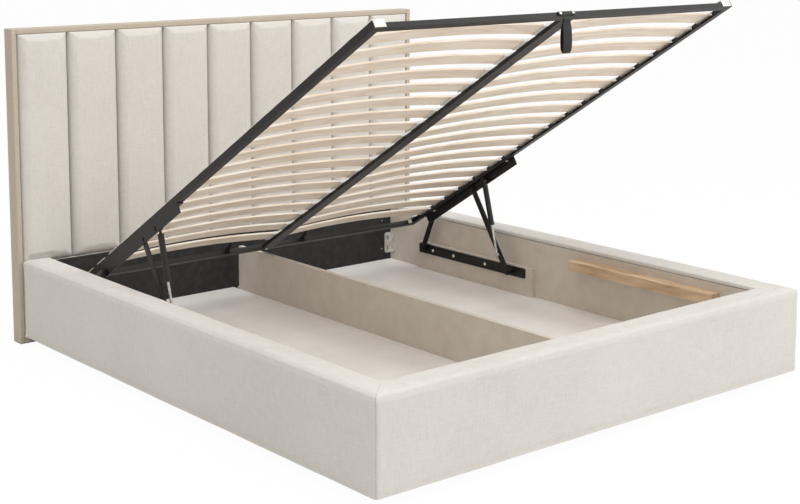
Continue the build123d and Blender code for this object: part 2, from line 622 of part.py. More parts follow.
def upper_plates():
    """Angle plate under each side angle, with its studs and screws."""
    end = PLATFORM_LENGTH - PLATE_START
    start = end - PLATE_LENGTH
    upright = Polyline((start, 0), (start, -PLATE_DROP), (end - PLATE_CUT, -PLATE_DROP),
                       (end, -PLATE_DROP + PLATE_CUT), (end, 0), close=True)
    leg = along_x(upright, PLATE_X, PLATFORM_X)
    shelf = block(PLATFORM_X - ANGLE, PLATE_X, start, end, -PLATE_THICK, 0)
    plate = leg + shelf
    studs = []
    for (y, z), inner, head in ((ARM_PIN, LINK_X - FACE_GAP, True),
                                (SPRING_PIN, SPRING_X - SPRING_EYE_THICK / 2 - FACE_GAP, True),
                                (SHORT_PIN, PLATE_X, False)):
        plate -= rod_x(PLATE_X - OVERRUN, PLATFORM_X + OVERRUN, y, z, PIN / 2)
        stud = rod_x(inner, PLATFORM_X, y, z, PIN / 2)
        stud += rod_x(PLATFORM_X, PLATFORM_X + PIN_HEAD_THICK, y, z, PIN_HEAD / 2)
        if head:
            stud += rod_x(inner - PIN_HEAD_THICK, inner, y, z, PIN_HEAD / 2)
        studs.append(stud)
    screws = []
    for place in (start + PLATE_DROP, end - PLATE_DROP * 2):
        x = PLATFORM_X - ANGLE / 2
        hole = Pos(x, place, 0) * Cylinder(SCREW_HOLE / 2, PLATE_DROP)
        plate -= hole
        shank = Pos(x, place, -PLATE_THICK / 2) * Cylinder(SCREW_SHANK / 2, PLATE_THICK)
        head = Pos(x, place, -PLATE_THICK - SCREW_HEAD_THICK / 2) * Cylinder(SCREW_HEAD / 2,
                                                                             SCREW_HEAD_THICK)
        screws.append(shank + head)
    for name, side in SIDES.items():
        save(to_raised(mirrored(plate, side)), f"upper_plate_{name}")
    save(to_raised(both_sides(studs)), "upper_plate_studs")
    save(to_raised(both_sides(screws)), "upper_plate_screws")


def steel_frame():
    """Side angles, foot and head angles and the centre tee."""
    wall = block(PLATFORM_X - ANGLE_THICK, PLATFORM_X, 0, PLATFORM_LENGTH, 0, ANGLE)
    floor_leg = block(PLATFORM_X - ANGLE, PLATFORM_X, 0, PLATFORM_LENGTH, 0, ANGLE_THICK)
    for name, side in SIDES.items():
        save(to_raised(mirrored(wall + floor_leg, side)), f"side_angle_{name}")
    inner = PLATFORM_X - ANGLE
    foot = block(-inner, inner, 0, ANGLE, 0, ANGLE_THICK)
    wall_x = PLATFORM_X - CORNER_OPEN
    foot += block(-wall_x, wall_x, 0, ANGLE_THICK, 0, FOOT_LEG)
    save(to_raised(foot), "foot_angle")
    head = block(-inner, inner, PLATFORM_LENGTH - ANGLE, PLATFORM_LENGTH, 0, ANGLE_THICK)
    head += block(-inner, inner, PLATFORM_LENGTH - ANGLE_THICK, PLATFORM_LENGTH, 0, ANGLE)
    save(to_raised(head), "head_angle")
    half = TEE_WIDTH / 2
    tee = block(-half, half, ANGLE, PLATFORM_LENGTH - ANGLE, 0, ANGLE_THICK)
    tee += block(-ANGLE_THICK / 2, ANGLE_THICK / 2, TEE_WEB_SETBACK, PLATFORM_LENGTH - ANGLE, 0,
                 TEE_HEIGHT)
    lip = block(half - ANGLE_THICK, half, ANGLE, PLATFORM_LENGTH - ANGLE, ANGLE_THICK, TEE_LIP)
    save(to_raised(tee + lip + mirrored(lip, -1)), "centre_tee")


def slat_profile(x0, x1, clear):
    """Bowed slat section in X and Z, grown all round by a clearance."""
    xm = (x0 + x1) / 2
    low, high = SLAT_SEAT - clear, SLAT_SEAT + SLAT_THICK + clear
    under = ThreePointArc((x0, low), (xm, low + SLAT_BOW), (x1, low))
    over = ThreePointArc((x1, high), (xm, high + SLAT_BOW), (x0, high))
    ends = [Line((x1, low), (x1, high)), Line((x0, high), (x0, low))]
    return [under, ends[0], over, ends[1]]


def slat_solid(x0, x1, width, clear):
    """One slat centred on Y zero."""
    reach = width / 2 + clear
    return along_y(slat_profile(x0, x1, clear), -reach, reach)


def slats_and_caps():
    """Eighteen slats a side, each end held in a plastic cap."""
    wall_in = PLATFORM_X - ANGLE_THICK
    slat_in = CAP_REACH - CAP_POCKET + SLAT_CLEAR
    slat_out = wall_in - CAP_REACH + CAP_POCKET - SLAT_CLEAR
    slat = slat_solid(slat_in, slat_out, SLAT_WIDTH, 0)
    pocket = slat_solid(slat_in, slat_out, SLAT_WIDTH, SLAT_CLEAR)
    half = CAP_WIDTH / 2
    outer = block(wall_in - CAP_REACH, wall_in, -half, half, CAP_LOW, CAP_HIGH)
    outer += block(wall_in, PLATFORM_X + CAP_HOOK, -half, half, ANGLE, CAP_HIGH)
    outer -= pocket
    middle = block(-CAP_REACH, CAP_REACH, -half, half, CAP_LOW, CAP_HIGH)
    middle -= block(-ANGLE_THICK / 2, ANGLE_THICK / 2, -CAP_WIDTH, CAP_WIDTH, 0, TEE_HEIGHT)
    middle -= pocket
    middle -= mirror(pocket, about=Plane.YZ)
    step = (PLATFORM_LENGTH - 2 * SLAT_MARGIN) / (SLAT_COUNT - 1)
    places = [SLAT_MARGIN + step * number for number in range(SLAT_COUNT)]
    for name, side in SIDES.items():
        row = [Pos(0, y, 0) * mirrored(slat, side) for y in places]
        save(to_raised(Compound(row)), f"slats_{name}")
    save(to_raised(both_sides([Pos(0, y, 0) * outer for y in places])), "slat_caps_side")
    centre = [Pos(0, y, 0) * middle for y in places]
    save(to_raised(Compound(centre)), "slat_caps_centre")


def platform_fittings():
    """Corner caps, stepped brackets, tee bolt, strap plate and its bolts."""
    top = ANGLE + CORNER_CAP_THICK
    wall_in = PLATFORM_X - ANGLE_THICK
    start = PLATFORM_X - CORNER_OPEN
    cap = block(start, wall_in, 0, CORNER_CAP_THICK, ANGLE_THICK, ANGLE)
    cap += block(start, PLATFORM_X, 0, ANGLE, ANGLE, top)
    inner = PLATFORM_X - HEAD_CAP_WIDTH
    head_cap = block(inner, PLATFORM_X, PLATFORM_LENGTH - HEAD_CAP_LENGTH, PLATFORM_LENGTH, ANGLE, top)
    save(to_raised(both_sides([cap, head_cap])), "corner_caps")
    back = PLATFORM_LENGTH - ANGLE_THICK
    mid = STEP_BRACKET_HEIGHT / 2
    far = back - STEP_BRACKET_DEPTH
    bend = back - STEP_BRACKET_DEPTH / 2
    outline = Polyline((back, ANGLE_THICK), (back, STEP_BRACKET_HEIGHT), (far, STEP_BRACKET_HEIGHT + mid),
                       (far, STEP_BRACKET_HEIGHT + mid - ANGLE_THICK * 2), (bend, mid + ANGLE_THICK),
                       (bend, ANGLE_THICK), close=True)
    step = along_x(outline, STEP_BRACKET_PLACE, STEP_BRACKET_PLACE + STEP_BRACKET_THICK)
    save(to_raised(both_sides([step])), "step_brackets")
    bolt_y = PLATFORM_LENGTH - ANGLE / 2
    bolt = Pos(0, bolt_y, -SCREW_HEAD_THICK / 2) * Cylinder(SCREW_HEAD / 2, SCREW_HEAD_THICK)
    save(to_raised(bolt), "tee_bolt")
    half = STRAP_WIDTH / 2
    top = FOOT_LEG
    face_y = -STRAP_THICK
    end = block(STRAP_PLACE - half, STRAP_PLACE + half, face_y, 0, 0, top)
    half = STRAP_PLATE_LENGTH / 2
    start, stop = STRAP_PLATE_PLACE - half, STRAP_PLATE_PLACE + half
    plate = block(start, stop, face_y - STRAP_PLATE_THICK, face_y, top - STRAP_PLATE_HEIGHT, top)
    save(to_raised(end), "strap_end")
    middle = top - STRAP_PLATE_HEIGHT / 2
    bolts = []
    for x in (STRAP_PLATE_PLACE - STRAP_BOLT_SPAN / 2, STRAP_PLATE_PLACE + STRAP_BOLT_SPAN / 2):
        outer_y = face_y - STRAP_PLATE_THICK
        shank = Rot(90, 0, 0) * Cylinder(PIN / 4, -outer_y)
        head = Rot(90, 0, 0) * Cylinder(STRAP_BOLT_HEAD / 2, STRAP_BOLT_THICK)
        shank = Pos(x, outer_y / 2, middle) * shank
        plate -= shank
        bolts.append(shank + Pos(x, outer_y - STRAP_BOLT_THICK / 2, middle) * head)
    save(to_raised(plate), "strap_plate")
    save(to_raised(Compound(bolts)), "strap_bolts")


def pull_strap():
    """Hanging loop of webbing: two plies that part and meet at a fold."""
    y, z = raised(*STRAP_PIN)
    wide = STRAP_LOOP / 2
    narrow = wide - STRAP_THICK
    tip = -STRAP_DROP * STRAP_TIP_SHARE
    waist = -STRAP_DROP * STRAP_WAIST_SHARE
    fold = -STRAP_DROP + STRAP_THICK
    turn = fold + narrow
    mid = (waist + turn) / 2
    pull = narrow * math.sqrt(0.5)
    part_way = (wide * STRAP_PART_SHARE, (tip + waist) / 2)
    loop = make_face([
        ThreePointArc((0, tip), part_way, (wide, waist)),
        ThreePointArc((wide, waist), (wide - STRAP_THICK * ROUND_SHARE, mid), (narrow, turn)),
        ThreePointArc((narrow, turn), (pull, turn - pull), (0, fold)),
        ThreePointArc((0, fold), (-pull, turn - pull), (-narrow, turn)),
        ThreePointArc((-narrow, turn), (-wide + STRAP_THICK * ROUND_SHARE, mid), (-wide, waist)),
        ThreePointArc((-wide, waist), (-part_way[0], part_way[1]), (0, tip)),
    ])
    neck = make_face([
        Polyline((STRAP_THICK, 0), (STRAP_THICK, tip), (-STRAP_THICK, tip), (-STRAP_THICK, 0)),
        ThreePointArc((-STRAP_THICK, 0), (0, STRAP_THICK), (STRAP_THICK, 0)),
    ])
    outline = offset(loop, STRAP_THICK, kind=Kind.ARC) + neck - loop
    half = STRAP_WIDTH / 2
    band = along_x(outline, STRAP_PLACE - half, STRAP_PLACE + half)
    save(Pos(0, y, z) * band, "pull_strap")


box_boards()
feet()
headboard()
headboard_bolts()
gear_mounts()
base_gear()
links()
gas_springs()
steel_frame()
upper_plates()
slats_and_caps()
platform_fittings()
pull_strap()
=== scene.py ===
"""Upholstered storage bed with its slatted platform raised, dressed for rendering."""

import logging
import math
from dataclasses import dataclass, field
from enum import Enum, IntEnum
from typing import Callable, Iterable, Optional

import bmesh
import bpy
from mathutils import Matrix, Vector

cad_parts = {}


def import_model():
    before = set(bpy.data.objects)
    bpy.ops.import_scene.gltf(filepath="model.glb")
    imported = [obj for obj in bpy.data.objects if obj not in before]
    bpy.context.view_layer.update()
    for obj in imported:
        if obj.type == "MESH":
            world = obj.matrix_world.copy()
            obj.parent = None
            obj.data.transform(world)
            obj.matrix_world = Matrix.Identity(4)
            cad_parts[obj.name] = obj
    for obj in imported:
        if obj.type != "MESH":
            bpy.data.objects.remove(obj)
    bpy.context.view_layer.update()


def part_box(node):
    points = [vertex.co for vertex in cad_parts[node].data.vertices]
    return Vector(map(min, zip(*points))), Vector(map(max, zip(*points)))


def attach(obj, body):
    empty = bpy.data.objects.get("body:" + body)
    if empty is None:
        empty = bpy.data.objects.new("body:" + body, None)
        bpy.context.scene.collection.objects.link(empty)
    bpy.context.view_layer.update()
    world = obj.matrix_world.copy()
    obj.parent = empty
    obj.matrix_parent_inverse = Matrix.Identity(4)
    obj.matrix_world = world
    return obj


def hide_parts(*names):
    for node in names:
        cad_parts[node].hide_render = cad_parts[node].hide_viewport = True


LOG = logging.getLogger("storage_bed")
MM = 0.001
WHITE = (1, 1, 1, 1)
# A face looks along an axis when its normal's part along that axis is over this.
FACING = 0.9

Node = bpy.types.Node
Socket = bpy.types.NodeSocket
Material = bpy.types.Material
Piece = bpy.types.Object
Edge = bmesh.types.BMEdge
Face = bmesh.types.BMFace
Triple = tuple[float, float, float]


class Axis(IntEnum):
    """The bed's axes as places in a vector: X to the right rail, Y to the headboard, Z up."""

    X = 0
    Y = 1
    Z = 2


class Side(Enum):
    """The two long sides of the bed, as signs along X."""

    LEFT = -1
    RIGHT = 1


# Small sums


def clamp(value: float, low: float = 0, high: float = 1) -> float:
    """Keep a value between two bounds."""
    return min(max(value, low), high)


def wave(first: float, second: float, numbers: Triple) -> float:
    """Give a sine of two distances, by the radians a metre of each and a phase."""
    return math.sin(first * numbers[0] + second * numbers[1] + numbers[2])


# Shader helpers


def linear(colour: str) -> tuple[float, float, float, float]:
    """Turn an sRGB hex colour into the linear values that Blender works in, with an alpha of one."""
    values = [int(colour[i:i + 2], 16) / 255 for i in (0, 2, 4)]
    return (*(v / 12.92 if v <= 0.04045 else ((v + 0.055) / 1.055) ** 2.4 for v in values), 1.0)


def add_node(tree: bpy.types.NodeTree, kind: str, links: Optional[dict] = None,
             **settings: object) -> Node:
    """Add a node with its settings and links.

    Args:
        tree: The tree that gets it.
        kind: Blender's name of the node.
        links: Sockets or plain values by input name or number.
        settings: Properties of the node.

    Returns:
        The new node.
    """
    node = tree.nodes.new(kind)
    for key, value in settings.items():
        setattr(node, key, value)
    for key, value in (links or {}).items():
        if isinstance(value, bpy.types.NodeSocket):
            tree.links.new(value, node.inputs[key])
        else:
            node.inputs[key].default_value = value
    return node


@dataclass
class Shading:
    """One material's node tree, started with its principled shader and its output."""

    name: str
    material: Material = field(init=False)
    shader: Node = field(init=False)
    output: Node = field(init=False)

    def __post_init__(self) -> None:
        """Create the material with a bare principled shader."""
        self.material = bpy.data.materials.new(self.name)
        self.material.use_nodes = True
        self.material.node_tree.nodes.clear()
        self.shader = self.add("ShaderNodeBsdfPrincipled")
        self.output = self.add("ShaderNodeOutputMaterial", {"Surface": self.shader.outputs["BSDF"]})

    def add(self, kind: str, links: Optional[dict] = None, **settings: object) -> Node:
        """Add a node to the material."""
        return add_node(self.material.node_tree, kind, links, **settings)

    def join(self, source: Socket, target: Socket) -> None:
        """Link one socket to another."""
        self.material.node_tree.links.new(source, target)

    def place(self, stretch: Triple = (1, 1, 1)) -> Socket:
        """Give the object's own coordinates, times a factor along each axis."""
        where = self.add("ShaderNodeTexCoord").outputs["Object"]
        return self.add("ShaderNodeMapping", {"Vector": where, "Scale": stretch}).outputs["Vector"]

    def noise(self, scale: float, detail: float = 2.0, rough: float = 0.55,
              stretch: Triple = (1, 1, 1)) -> Socket:
        """Give a noise from nought to one over the object.

        Args:
            scale: Features a metre.
            detail: Finer steps in it.
            rough: How much each finer step shows.
            stretch: Factors on the scale along X, Y and Z.

        Returns:
            A value socket.
        """
        return self.add("ShaderNodeTexNoise", {"Vector": self.place(stretch), "Scale": scale,
                                               "Detail": detail, "Roughness": rough}).outputs["Fac"]

    def ramp(self, value: Socket, *stops: tuple[float, str]) -> Socket:
        """Turn a value into a colour along a ramp of places and hex colours."""
        node = self.add("ShaderNodeValToRGB", {"Fac": value})
        points = node.color_ramp.elements
        while len(points) < len(stops):
            points.new(0.5)
        for point, (place, colour) in zip(points, stops):
            point.position = place
            point.color = linear(colour)
        return node.outputs["Color"]

    def tone(self, value: Socket, spread: float, *colours: str) -> Socket:
        """Turn a value into a dark, a middle and a light colour, spread about one half."""
        return self.ramp(value, *zip((0.5 - spread, 0.5, 0.5 + spread), colours))

    def math(self, operation: str, *values: object) -> Socket:
        """Do one sum on sockets or plain values."""
        return self.add("ShaderNodeMath", dict(enumerate(values)), operation=operation).outputs[0]

    def total(self, *parts: tuple[Socket, float]) -> Socket:
        """Add up values, each times its share."""
        terms = [self.math("MULTIPLY", value, share) for value, share in parts]
        result = terms[0]
        for term in terms[1:]:
            result = self.math("ADD", result, term)
        return result

    def vary(self, middle: float, value: Socket, swing: float) -> Socket:
        """Let a plain number swing about its middle with a noise."""
        return self.math("ADD", self.math("MULTIPLY", value, swing), middle - swing / 2)

    def bump(self, height: Socket, relief_mm: float, strength: float) -> Socket:
        """Give a normal from a height.

        Args:
            height: Value from nought to one.
            relief_mm: Relief at one.
            strength: How much of it shows.

        Returns:
            A normal socket.
        """
        return self.add("ShaderNodeBump", {"Height": height, "Distance": relief_mm * MM,
                                           "Strength": strength}).outputs["Normal"]

    def set(self, **values: object) -> None:
        """Set the principled shader's sockets, linked or plain; an underscore stands for a space."""
        for key, value in values.items():
            socket = self.shader.inputs[key.replace("_", " ")]
            if isinstance(value, bpy.types.NodeSocket):
                self.join(value, socket)
            else:
                socket.default_value = value


@dataclass(frozen=True)
class LinenWeave:
    """Polyester linen-look upholstery: dull, slubby plain weave with a soft fuzz at grazing angles."""

    name: str
    base: str
    dark: str
    light: str
    # The yarns of such a cloth are about 0.7 mm apart; drawn at 1.8 mm so that they show.
    thread_mm: float = 1.8
    relief_mm: float = 0.22
    # A slub runs over twenty threads.
    slub: float = 0.05
    clouds: float = 3.0
    spread: float = 0.14

    def build(self) -> Material:
        """Make the cloth material."""
        s = Shading(self.name)
        pitch = 1 / (self.thread_mm * MM)
        # Long streaks one way and the other give the slubs of the two yarns.
        slub = pitch * self.slub
        level = s.noise(1.0, stretch=(slub, slub, pitch))
        upright = s.noise(1.0, stretch=(pitch, pitch, slub))
        weave = s.total((level, 0.5), (upright, 0.5))
        fleck = s.noise(pitch * 0.45)
        shade = s.total((weave, 0.6), (fleck, 0.25), (s.noise(self.clouds), 0.15))
        s.set(Base_Color=s.tone(shade, self.spread, self.dark, self.base, self.light),
              Roughness=0.92, Specular_IOR_Level=0.2, Sheen_Weight=0.18, Sheen_Roughness=0.5,
              Normal=s.bump(weave, self.relief_mm, 0.55))
        return s.material


@dataclass(frozen=True)
class PowderCoat:
    """Black powder-coated steel: satin, with the faint orange peel of sprayed powder."""

    name: str
    base: str
    worn: str
    roughness: float = 0.46
    peel_mm: float = 1.2
    clouds: float = 9.0

    def build(self) -> Material:
        """Make the coated steel material."""
        s = Shading(self.name)
        peel = s.noise(1 / (self.peel_mm * MM))
        cloud = s.noise(self.clouds, 4.0)
        s.set(Base_Color=s.ramp(cloud, (0.3, self.base), (0.75, self.worn)),
              Roughness=s.vary(self.roughness, cloud, 0.12), IOR=1.42, Normal=s.bump(peel, 0.06, 0.35))
        return s.material


@dataclass(frozen=True)
class PlanedWood:
    """Planed or bent-laminated timber under thin lacquer: grain lines along the piece."""

    name: str
    base: str
    dark: str
    light: str
    axis: Axis
    grain_mm: float
    roughness: float
    contrast: float = 1.0

    def stretch(self, along: float, across: float) -> Triple:
        """Give factors for features a metre along the grain and across it."""
        return tuple(along if axis is self.axis else across for axis in Axis)

    def build(self) -> Material:
        """Make the timber material."""
        s = Shading(self.name)
        pitch = 1 / (self.grain_mm * MM)
        lines = s.noise(1.0, 5.0, 0.62, self.stretch(pitch * 0.03, pitch))
        # A slow figure, folded over and over, gives the yearly rings.
        figure = s.noise(1.0, 3.0, stretch=self.stretch(1.4, 9.0))
        rings = s.math("PINGPONG", s.math("MULTIPLY", figure, 14.0), 1.0)
        spread = 0.16 * self.contrast
        colour = s.ramp(s.total((lines, 0.65), (rings, 0.35)), (0.5 - spread * 1.4, self.light),
                        (0.5, self.base), (0.5 + spread * 1.6, self.dark))
        s.set(Base_Color=colour, Roughness=self.roughness, Coat_Weight=0.08, Coat_Roughness=0.35,
              Normal=s.bump(lines, 0.12, 0.4))
        return s.material


@dataclass(frozen=True)
class LiningBoard:
    """Chipboard with a thin pressed lining: matt, nearly even, with a faint fibre clouding."""

    name: str
    base: str
    dark: str
    light: str
    cloud_mm: float = 60.0
    roughness: float = 0.7
    # Share of broad bands across the bed in the clouding.
    bands: float = 0.0
    fibre_mm: float = 1.6
    spread: float = 0.18

    def build(self) -> Material:
        """Make the lining material."""
        s = Shading(self.name)
        cloud = s.noise(1 / (self.cloud_mm * MM), 4.0, 0.6)
        fibre = s.noise(1 / (self.fibre_mm * MM))
        value = s.total((cloud, 0.75), (fibre, 0.25))
        if self.bands > 0:
            streaks = s.noise(1.0, 3.0, 0.5, (0.6, 7.0, 7.0))
            value = s.total((value, 1 - self.bands), (streaks, self.bands))
        s.set(Base_Color=s.tone(value, self.spread, self.dark, self.base, self.light),
              Roughness=self.roughness, Specular_IOR_Level=0.35, Normal=s.bump(fibre, 0.05, 0.3))
        return s.material


@dataclass(frozen=True)
class MouldedPlastic:
    """Injection-moulded polypropylene or nylon: even colour, fine spark texture, soft gloss."""

    name: str
    base: str
    shade: str
    roughness: float = 0.42
    spark_mm: float = 0.9
    clouds: float = 14.0

    def build(self) -> Material:
        """Make the plastic material."""
        s = Shading(self.name)
        spark = s.noise(1 / (self.spark_mm * MM))
        s.set(Base_Color=s.ramp(s.noise(self.clouds), (0.3, self.shade), (0.6, self.base)),
              Roughness=self.roughness, IOR=1.49, Normal=s.bump(spark, 0.03, 0.4))
        return s.material


@dataclass(frozen=True)
class PlatedSteel:
    """Zinc-plated or ground steel: bright, with crystal spangle or fine grinding lines."""

    name: str
    base: str
    dark: str
    roughness: float = 0.34
    line_mm: float = 0.8
    spangles: float = 55.0

    def build(self) -> Material:
        """Make the plated steel material."""
        s = Shading(self.name)
        pitch = 1 / (self.line_mm * MM)
        lines = s.noise(1.0, 3.0, stretch=(pitch * 0.08, pitch, pitch))
        s.set(Base_Color=s.ramp(s.noise(self.spangles, 3.0), (0.3, self.dark), (0.65, self.base)),
              Metallic=0.72, Roughness=s.vary(self.roughness, lines, 0.14),
              Normal=s.bump(lines, 0.02, 0.4))
        return s.material


@dataclass(frozen=True)
class WovenTape:
    """Polyester webbing: dull black ribs across the tape, the crests painted a little lighter as a
    highlight.
    """

    name: str
    base: str
    # The crests' colour: a painted highlight on the ribs, lighter than the black yarn.
    light: str
    # Real ribs are about 1 mm apart. A wave's period is pi / 10 over its scale, so these are drawn
    # about 4.3 mm apart, so that they show.
    scale: float = 72.38

    def build(self) -> Material:
        """Make the webbing material."""
        s = Shading(self.name)
        ribs = s.add("ShaderNodeTexWave", {"Vector": s.place(), "Scale": self.scale,
                                           "Distortion": 1.2, "Detail": 1.0},
                     wave_type="BANDS", bands_direction="Z").outputs["Fac"]
        # The rib crests get the lighter colour, a painted highlight, besides the real relief of the
        # bump.
        s.set(Base_Color=s.ramp(ribs, (0.1, self.base), (0.9, self.light)), Roughness=0.7,
              Normal=s.bump(ribs, 0.25, 0.7))
        return s.material


@dataclass(frozen=True)
class StudioPaper:
    """Pale seamless paper under the object, seen almost white but for a trace of shadow."""

    name: str
    base: str
    white: float = 0.97

    def build(self) -> Material:
        """Make the floor material."""
        s = Shading(self.name)
        s.set(Base_Color=linear(self.base), Roughness=0.9, Specular_IOR_Level=0.1)
        white = s.add("ShaderNodeEmission", {"Color": WHITE, "Strength": 1.0}).outputs[0]
        seen = s.math("MULTIPLY", s.add("ShaderNodeLightPath").outputs["Is Camera Ray"], self.white)
        mix = s.add("ShaderNodeMixShader", {0: seen, 1: s.shader.outputs["BSDF"], 2: white})
        s.join(mix.outputs[0], s.output.inputs["Surface"])
        return s.material


class Finishes:
    """All finishes of the bed, built once."""

    def __init__(self) -> None:
        """Build every material."""
        # Box and cushions: warm off-white, a fine dull weave.
        self.pale = LinenWeave("linen_weave_pale", "D3D1CD", "C9C6C1", "DCDAD7").build()
        # Headboard's frame: sand, a tighter weave that keeps edges crisp.
        self.border = LinenWeave("linen_weave_border", "BBB1A2", "AFA596", "C6BDAF", 1.6, 0.12).build()
        # Platform and gear: near black, a dull sheen along edges.
        self.steel = PowderCoat("powder_coated_steel", "0D0C0B", "171614").build()
        # Gas cylinders: smoother, a light line down each.
        self.black = PowderCoat("sprayed_cylinder_black", "141414", "1E1D1C", 0.3).build()
        # Slats: blond, quiet grain, a thin gleam.
        self.slat = PlanedWood("bent_laminated_birch", "E7DACA", "D7C5AF", "F0E7DB", Axis.X, 3.0, 0.45,
                               1.2).build()
        # Battens: honey, wider grain.
        self.pine = PlanedWood("planed_pine", "CCAF90", "AD8B67", "DDC4A5", Axis.Y, 5.0, 0.5,
                               1.1).build()
        # Cleats and bearer: raw and matt.
        self.rough_pine = PlanedWood("sawn_spruce", "D6BC93", "BFA172", "E2CDAB", Axis.Y, 6.0,
                                     0.7).build()
        # Divider and gear panels: even warm grey.
        self.lining = LiningBoard("pressed_grey_lining", "D3CBC1", "CDC5BB", "D9D2C9").build()
        # Head panel: charcoal that swallows light.
        self.felt = LiningBoard("dark_felt_lining", "2B2B2A", "222221", "363635", 34.0, 0.85).build()
        # Floor panels: nearly white, faint bands across.
        self.floor = LiningBoard("pale_laminate", "F0EEEC", "E8E6E3", "F6F5F4", 90.0, 0.45, 0.45).build()
        # Clips and caps: clean white, soft gloss.
        self.white = MouldedPlastic("white_polypropylene", "E9E8E5", "DEDCD8").build()
        # Feet: black, lost in the shadow.
        self.black_plastic = MouldedPlastic("black_polypropylene", "1B1B1B", "121212").build()
        # Screw heads: bright white dots on black.
        self.white_paint = MouldedPlastic("white_enamelled_screw", "F0EFEC", "DAD8D4", 0.3).build()
        # Brackets and bolts: bright grey, crystal spangle.
        self.zinc = PlatedSteel("zinc_plated_steel", "F0EEEA", "D2D0CA").build()
        # Gas rods: a darker, sharper gleam.
        self.rod = PlatedSteel("ground_steel_rod", "C9C9C8", "9E9E9D", 0.2, 0.5).build()
        # Pull strap: black, ribs just told apart, with a painted highlight on their crests.
        self.tape = WovenTape("polyester_webbing", "0C0C0C", "1F1F1F").build()
        # Ground: white, a trace of shadow.
        self.paper = StudioPaper("studio_paper", "F4F3F1").build()


# Modelling helpers


def clear_selection() -> None:
    """Deselect everything and leave edit mode."""
    if bpy.context.mode != "OBJECT":
        bpy.ops.object.mode_set(mode="OBJECT")
    bpy.ops.object.select_all(action="DESELECT")


def activate(piece: Piece) -> None:
    """Make a piece the only selected and active one."""
    clear_selection()
    piece.select_set(True)
    bpy.context.view_layer.objects.active = piece


def edit_all(piece: Piece) -> None:
    """Enter edit mode with the whole mesh selected."""
    activate(piece)
    bpy.ops.object.mode_set(mode="EDIT")
    bpy.ops.mesh.select_all(action="SELECT")


def settle(piece: Piece) -> None:
    """Apply a piece's place, turn and size to its mesh."""
    activate(piece)
    bpy.ops.object.transform_apply(location=True, rotation=True, scale=True)


def rename(piece: Piece, name: str) -> None:
    """Name a piece and its mesh."""
    piece.name = name
    piece.data.name = name


def block(name: str, low: Iterable[float], high: Iterable[float]) -> Piece:
    """Add a box primitive between two corners, in metres.

    Args:
        name: Name of the new piece.
        low: Lowest corner.
        high: Highest corner.

    Returns:
        The new piece, at the origin.
    """
    clear_selection()
    middle = [(a + b) / 2 for a, b in zip(low, high)]
    bpy.ops.mesh.primitive_cube_add(size=1, location=middle)
    piece = bpy.context.object
    rename(piece, name)
    piece.scale = [b - a for a, b in zip(low, high)]
    settle(piece)
    return piece


def select_where(piece: Piece, test: Callable[[object], bool], faces: bool = False) -> None:
    """Enter edit mode with just the edges or faces that pass a test selected.

    Args:
        piece: The mesh piece.
        test: Says whether an edge or a face is wanted.
        faces: Whether faces are tested, else edges.
    """
    activate(piece)
    bpy.ops.object.mode_set(mode="EDIT")
    bpy.ops.mesh.select_mode(type="FACE" if faces else "EDGE")
    bpy.ops.mesh.select_all(action="DESELECT")
    shape = bmesh.from_edit_mesh(piece.data)
    for part in (shape.faces if faces else shape.edges):
        if test(part):
            part.select = True
    shape.select_flush_mode()
    bmesh.update_edit_mesh(piece.data)


def bevel_edges(piece: Piece, test: Callable[[Edge], bool], width: float, segments: int) -> None:
    """Round the edges that pass a test.

    Args:
        piece: The mesh piece.
        test: Says whether an edge is wanted.
        width: Width of the rounding, in metres.
        segments: Strips that make it up.
    """
    select_where(piece, test)
    bpy.ops.mesh.bevel(offset=width, segments=segments, affect="EDGES", profile=0.5)
    bpy.ops.object.mode_set(mode="OBJECT")


def split(piece: Piece, point: Triple, normal: Triple, drop: bool = False) -> None:
    """Cut a closed form by a plane.

    Args:
        piece: The mesh piece.
        point: A point of the plane.
        normal: The plane's normal.
        drop: Whether the part on the normal's side goes and the cut is filled.
    """
    edit_all(piece)
    bpy.ops.mesh.bisect(plane_co=point, plane_no=normal, use_fill=drop, clear_outer=drop)
    bpy.ops.object.mode_set(mode="OBJECT")


def push_faces(piece: Piece, test: Callable[[Face], bool], *steps: Triple) -> None:
    """Extrude the faces that pass a test, once for each step.

    Args:
        piece: The mesh piece.
        test: Says whether a face is wanted.
        steps: Moves of the extruded faces, in metres.
    """
    select_where(piece, test, faces=True)
    for step in steps:
        bpy.ops.mesh.extrude_region_move(TRANSFORM_OT_translate={"value": step})
    bpy.ops.object.mode_set(mode="OBJECT")


def apply_modifier(piece: Piece, kind: str, **settings: object) -> None:
    """Add a modifier with its settings and apply it."""
    activate(piece)
    modifier = piece.modifiers.new(kind.title(), kind)
    for key, value in settings.items():
        setattr(modifier, key, value)
    bpy.ops.object.modifier_apply(modifier=modifier.name)


def paint(piece: Piece, material: Material) -> None:
    """Give a piece one material."""
    piece.data.materials.clear()
    piece.data.materials.append(material)


def copied(piece: Piece, name: str, move: Matrix) -> Piece:
    """Copy a piece with a mesh of its own and move the mesh.

    Args:
        piece: The piece to copy.
        name: The copy's name.
        move: Where the copy goes.

    Returns:
        The copy.
    """
    clear_selection()
    twin = piece.copy()
    twin.data = piece.data.copy()
    rename(twin, name)
    bpy.context.collection.objects.link(twin)
    twin.data.transform(move)
    if move.determinant() < 0:
        twin.data.flip_normals()
    return twin


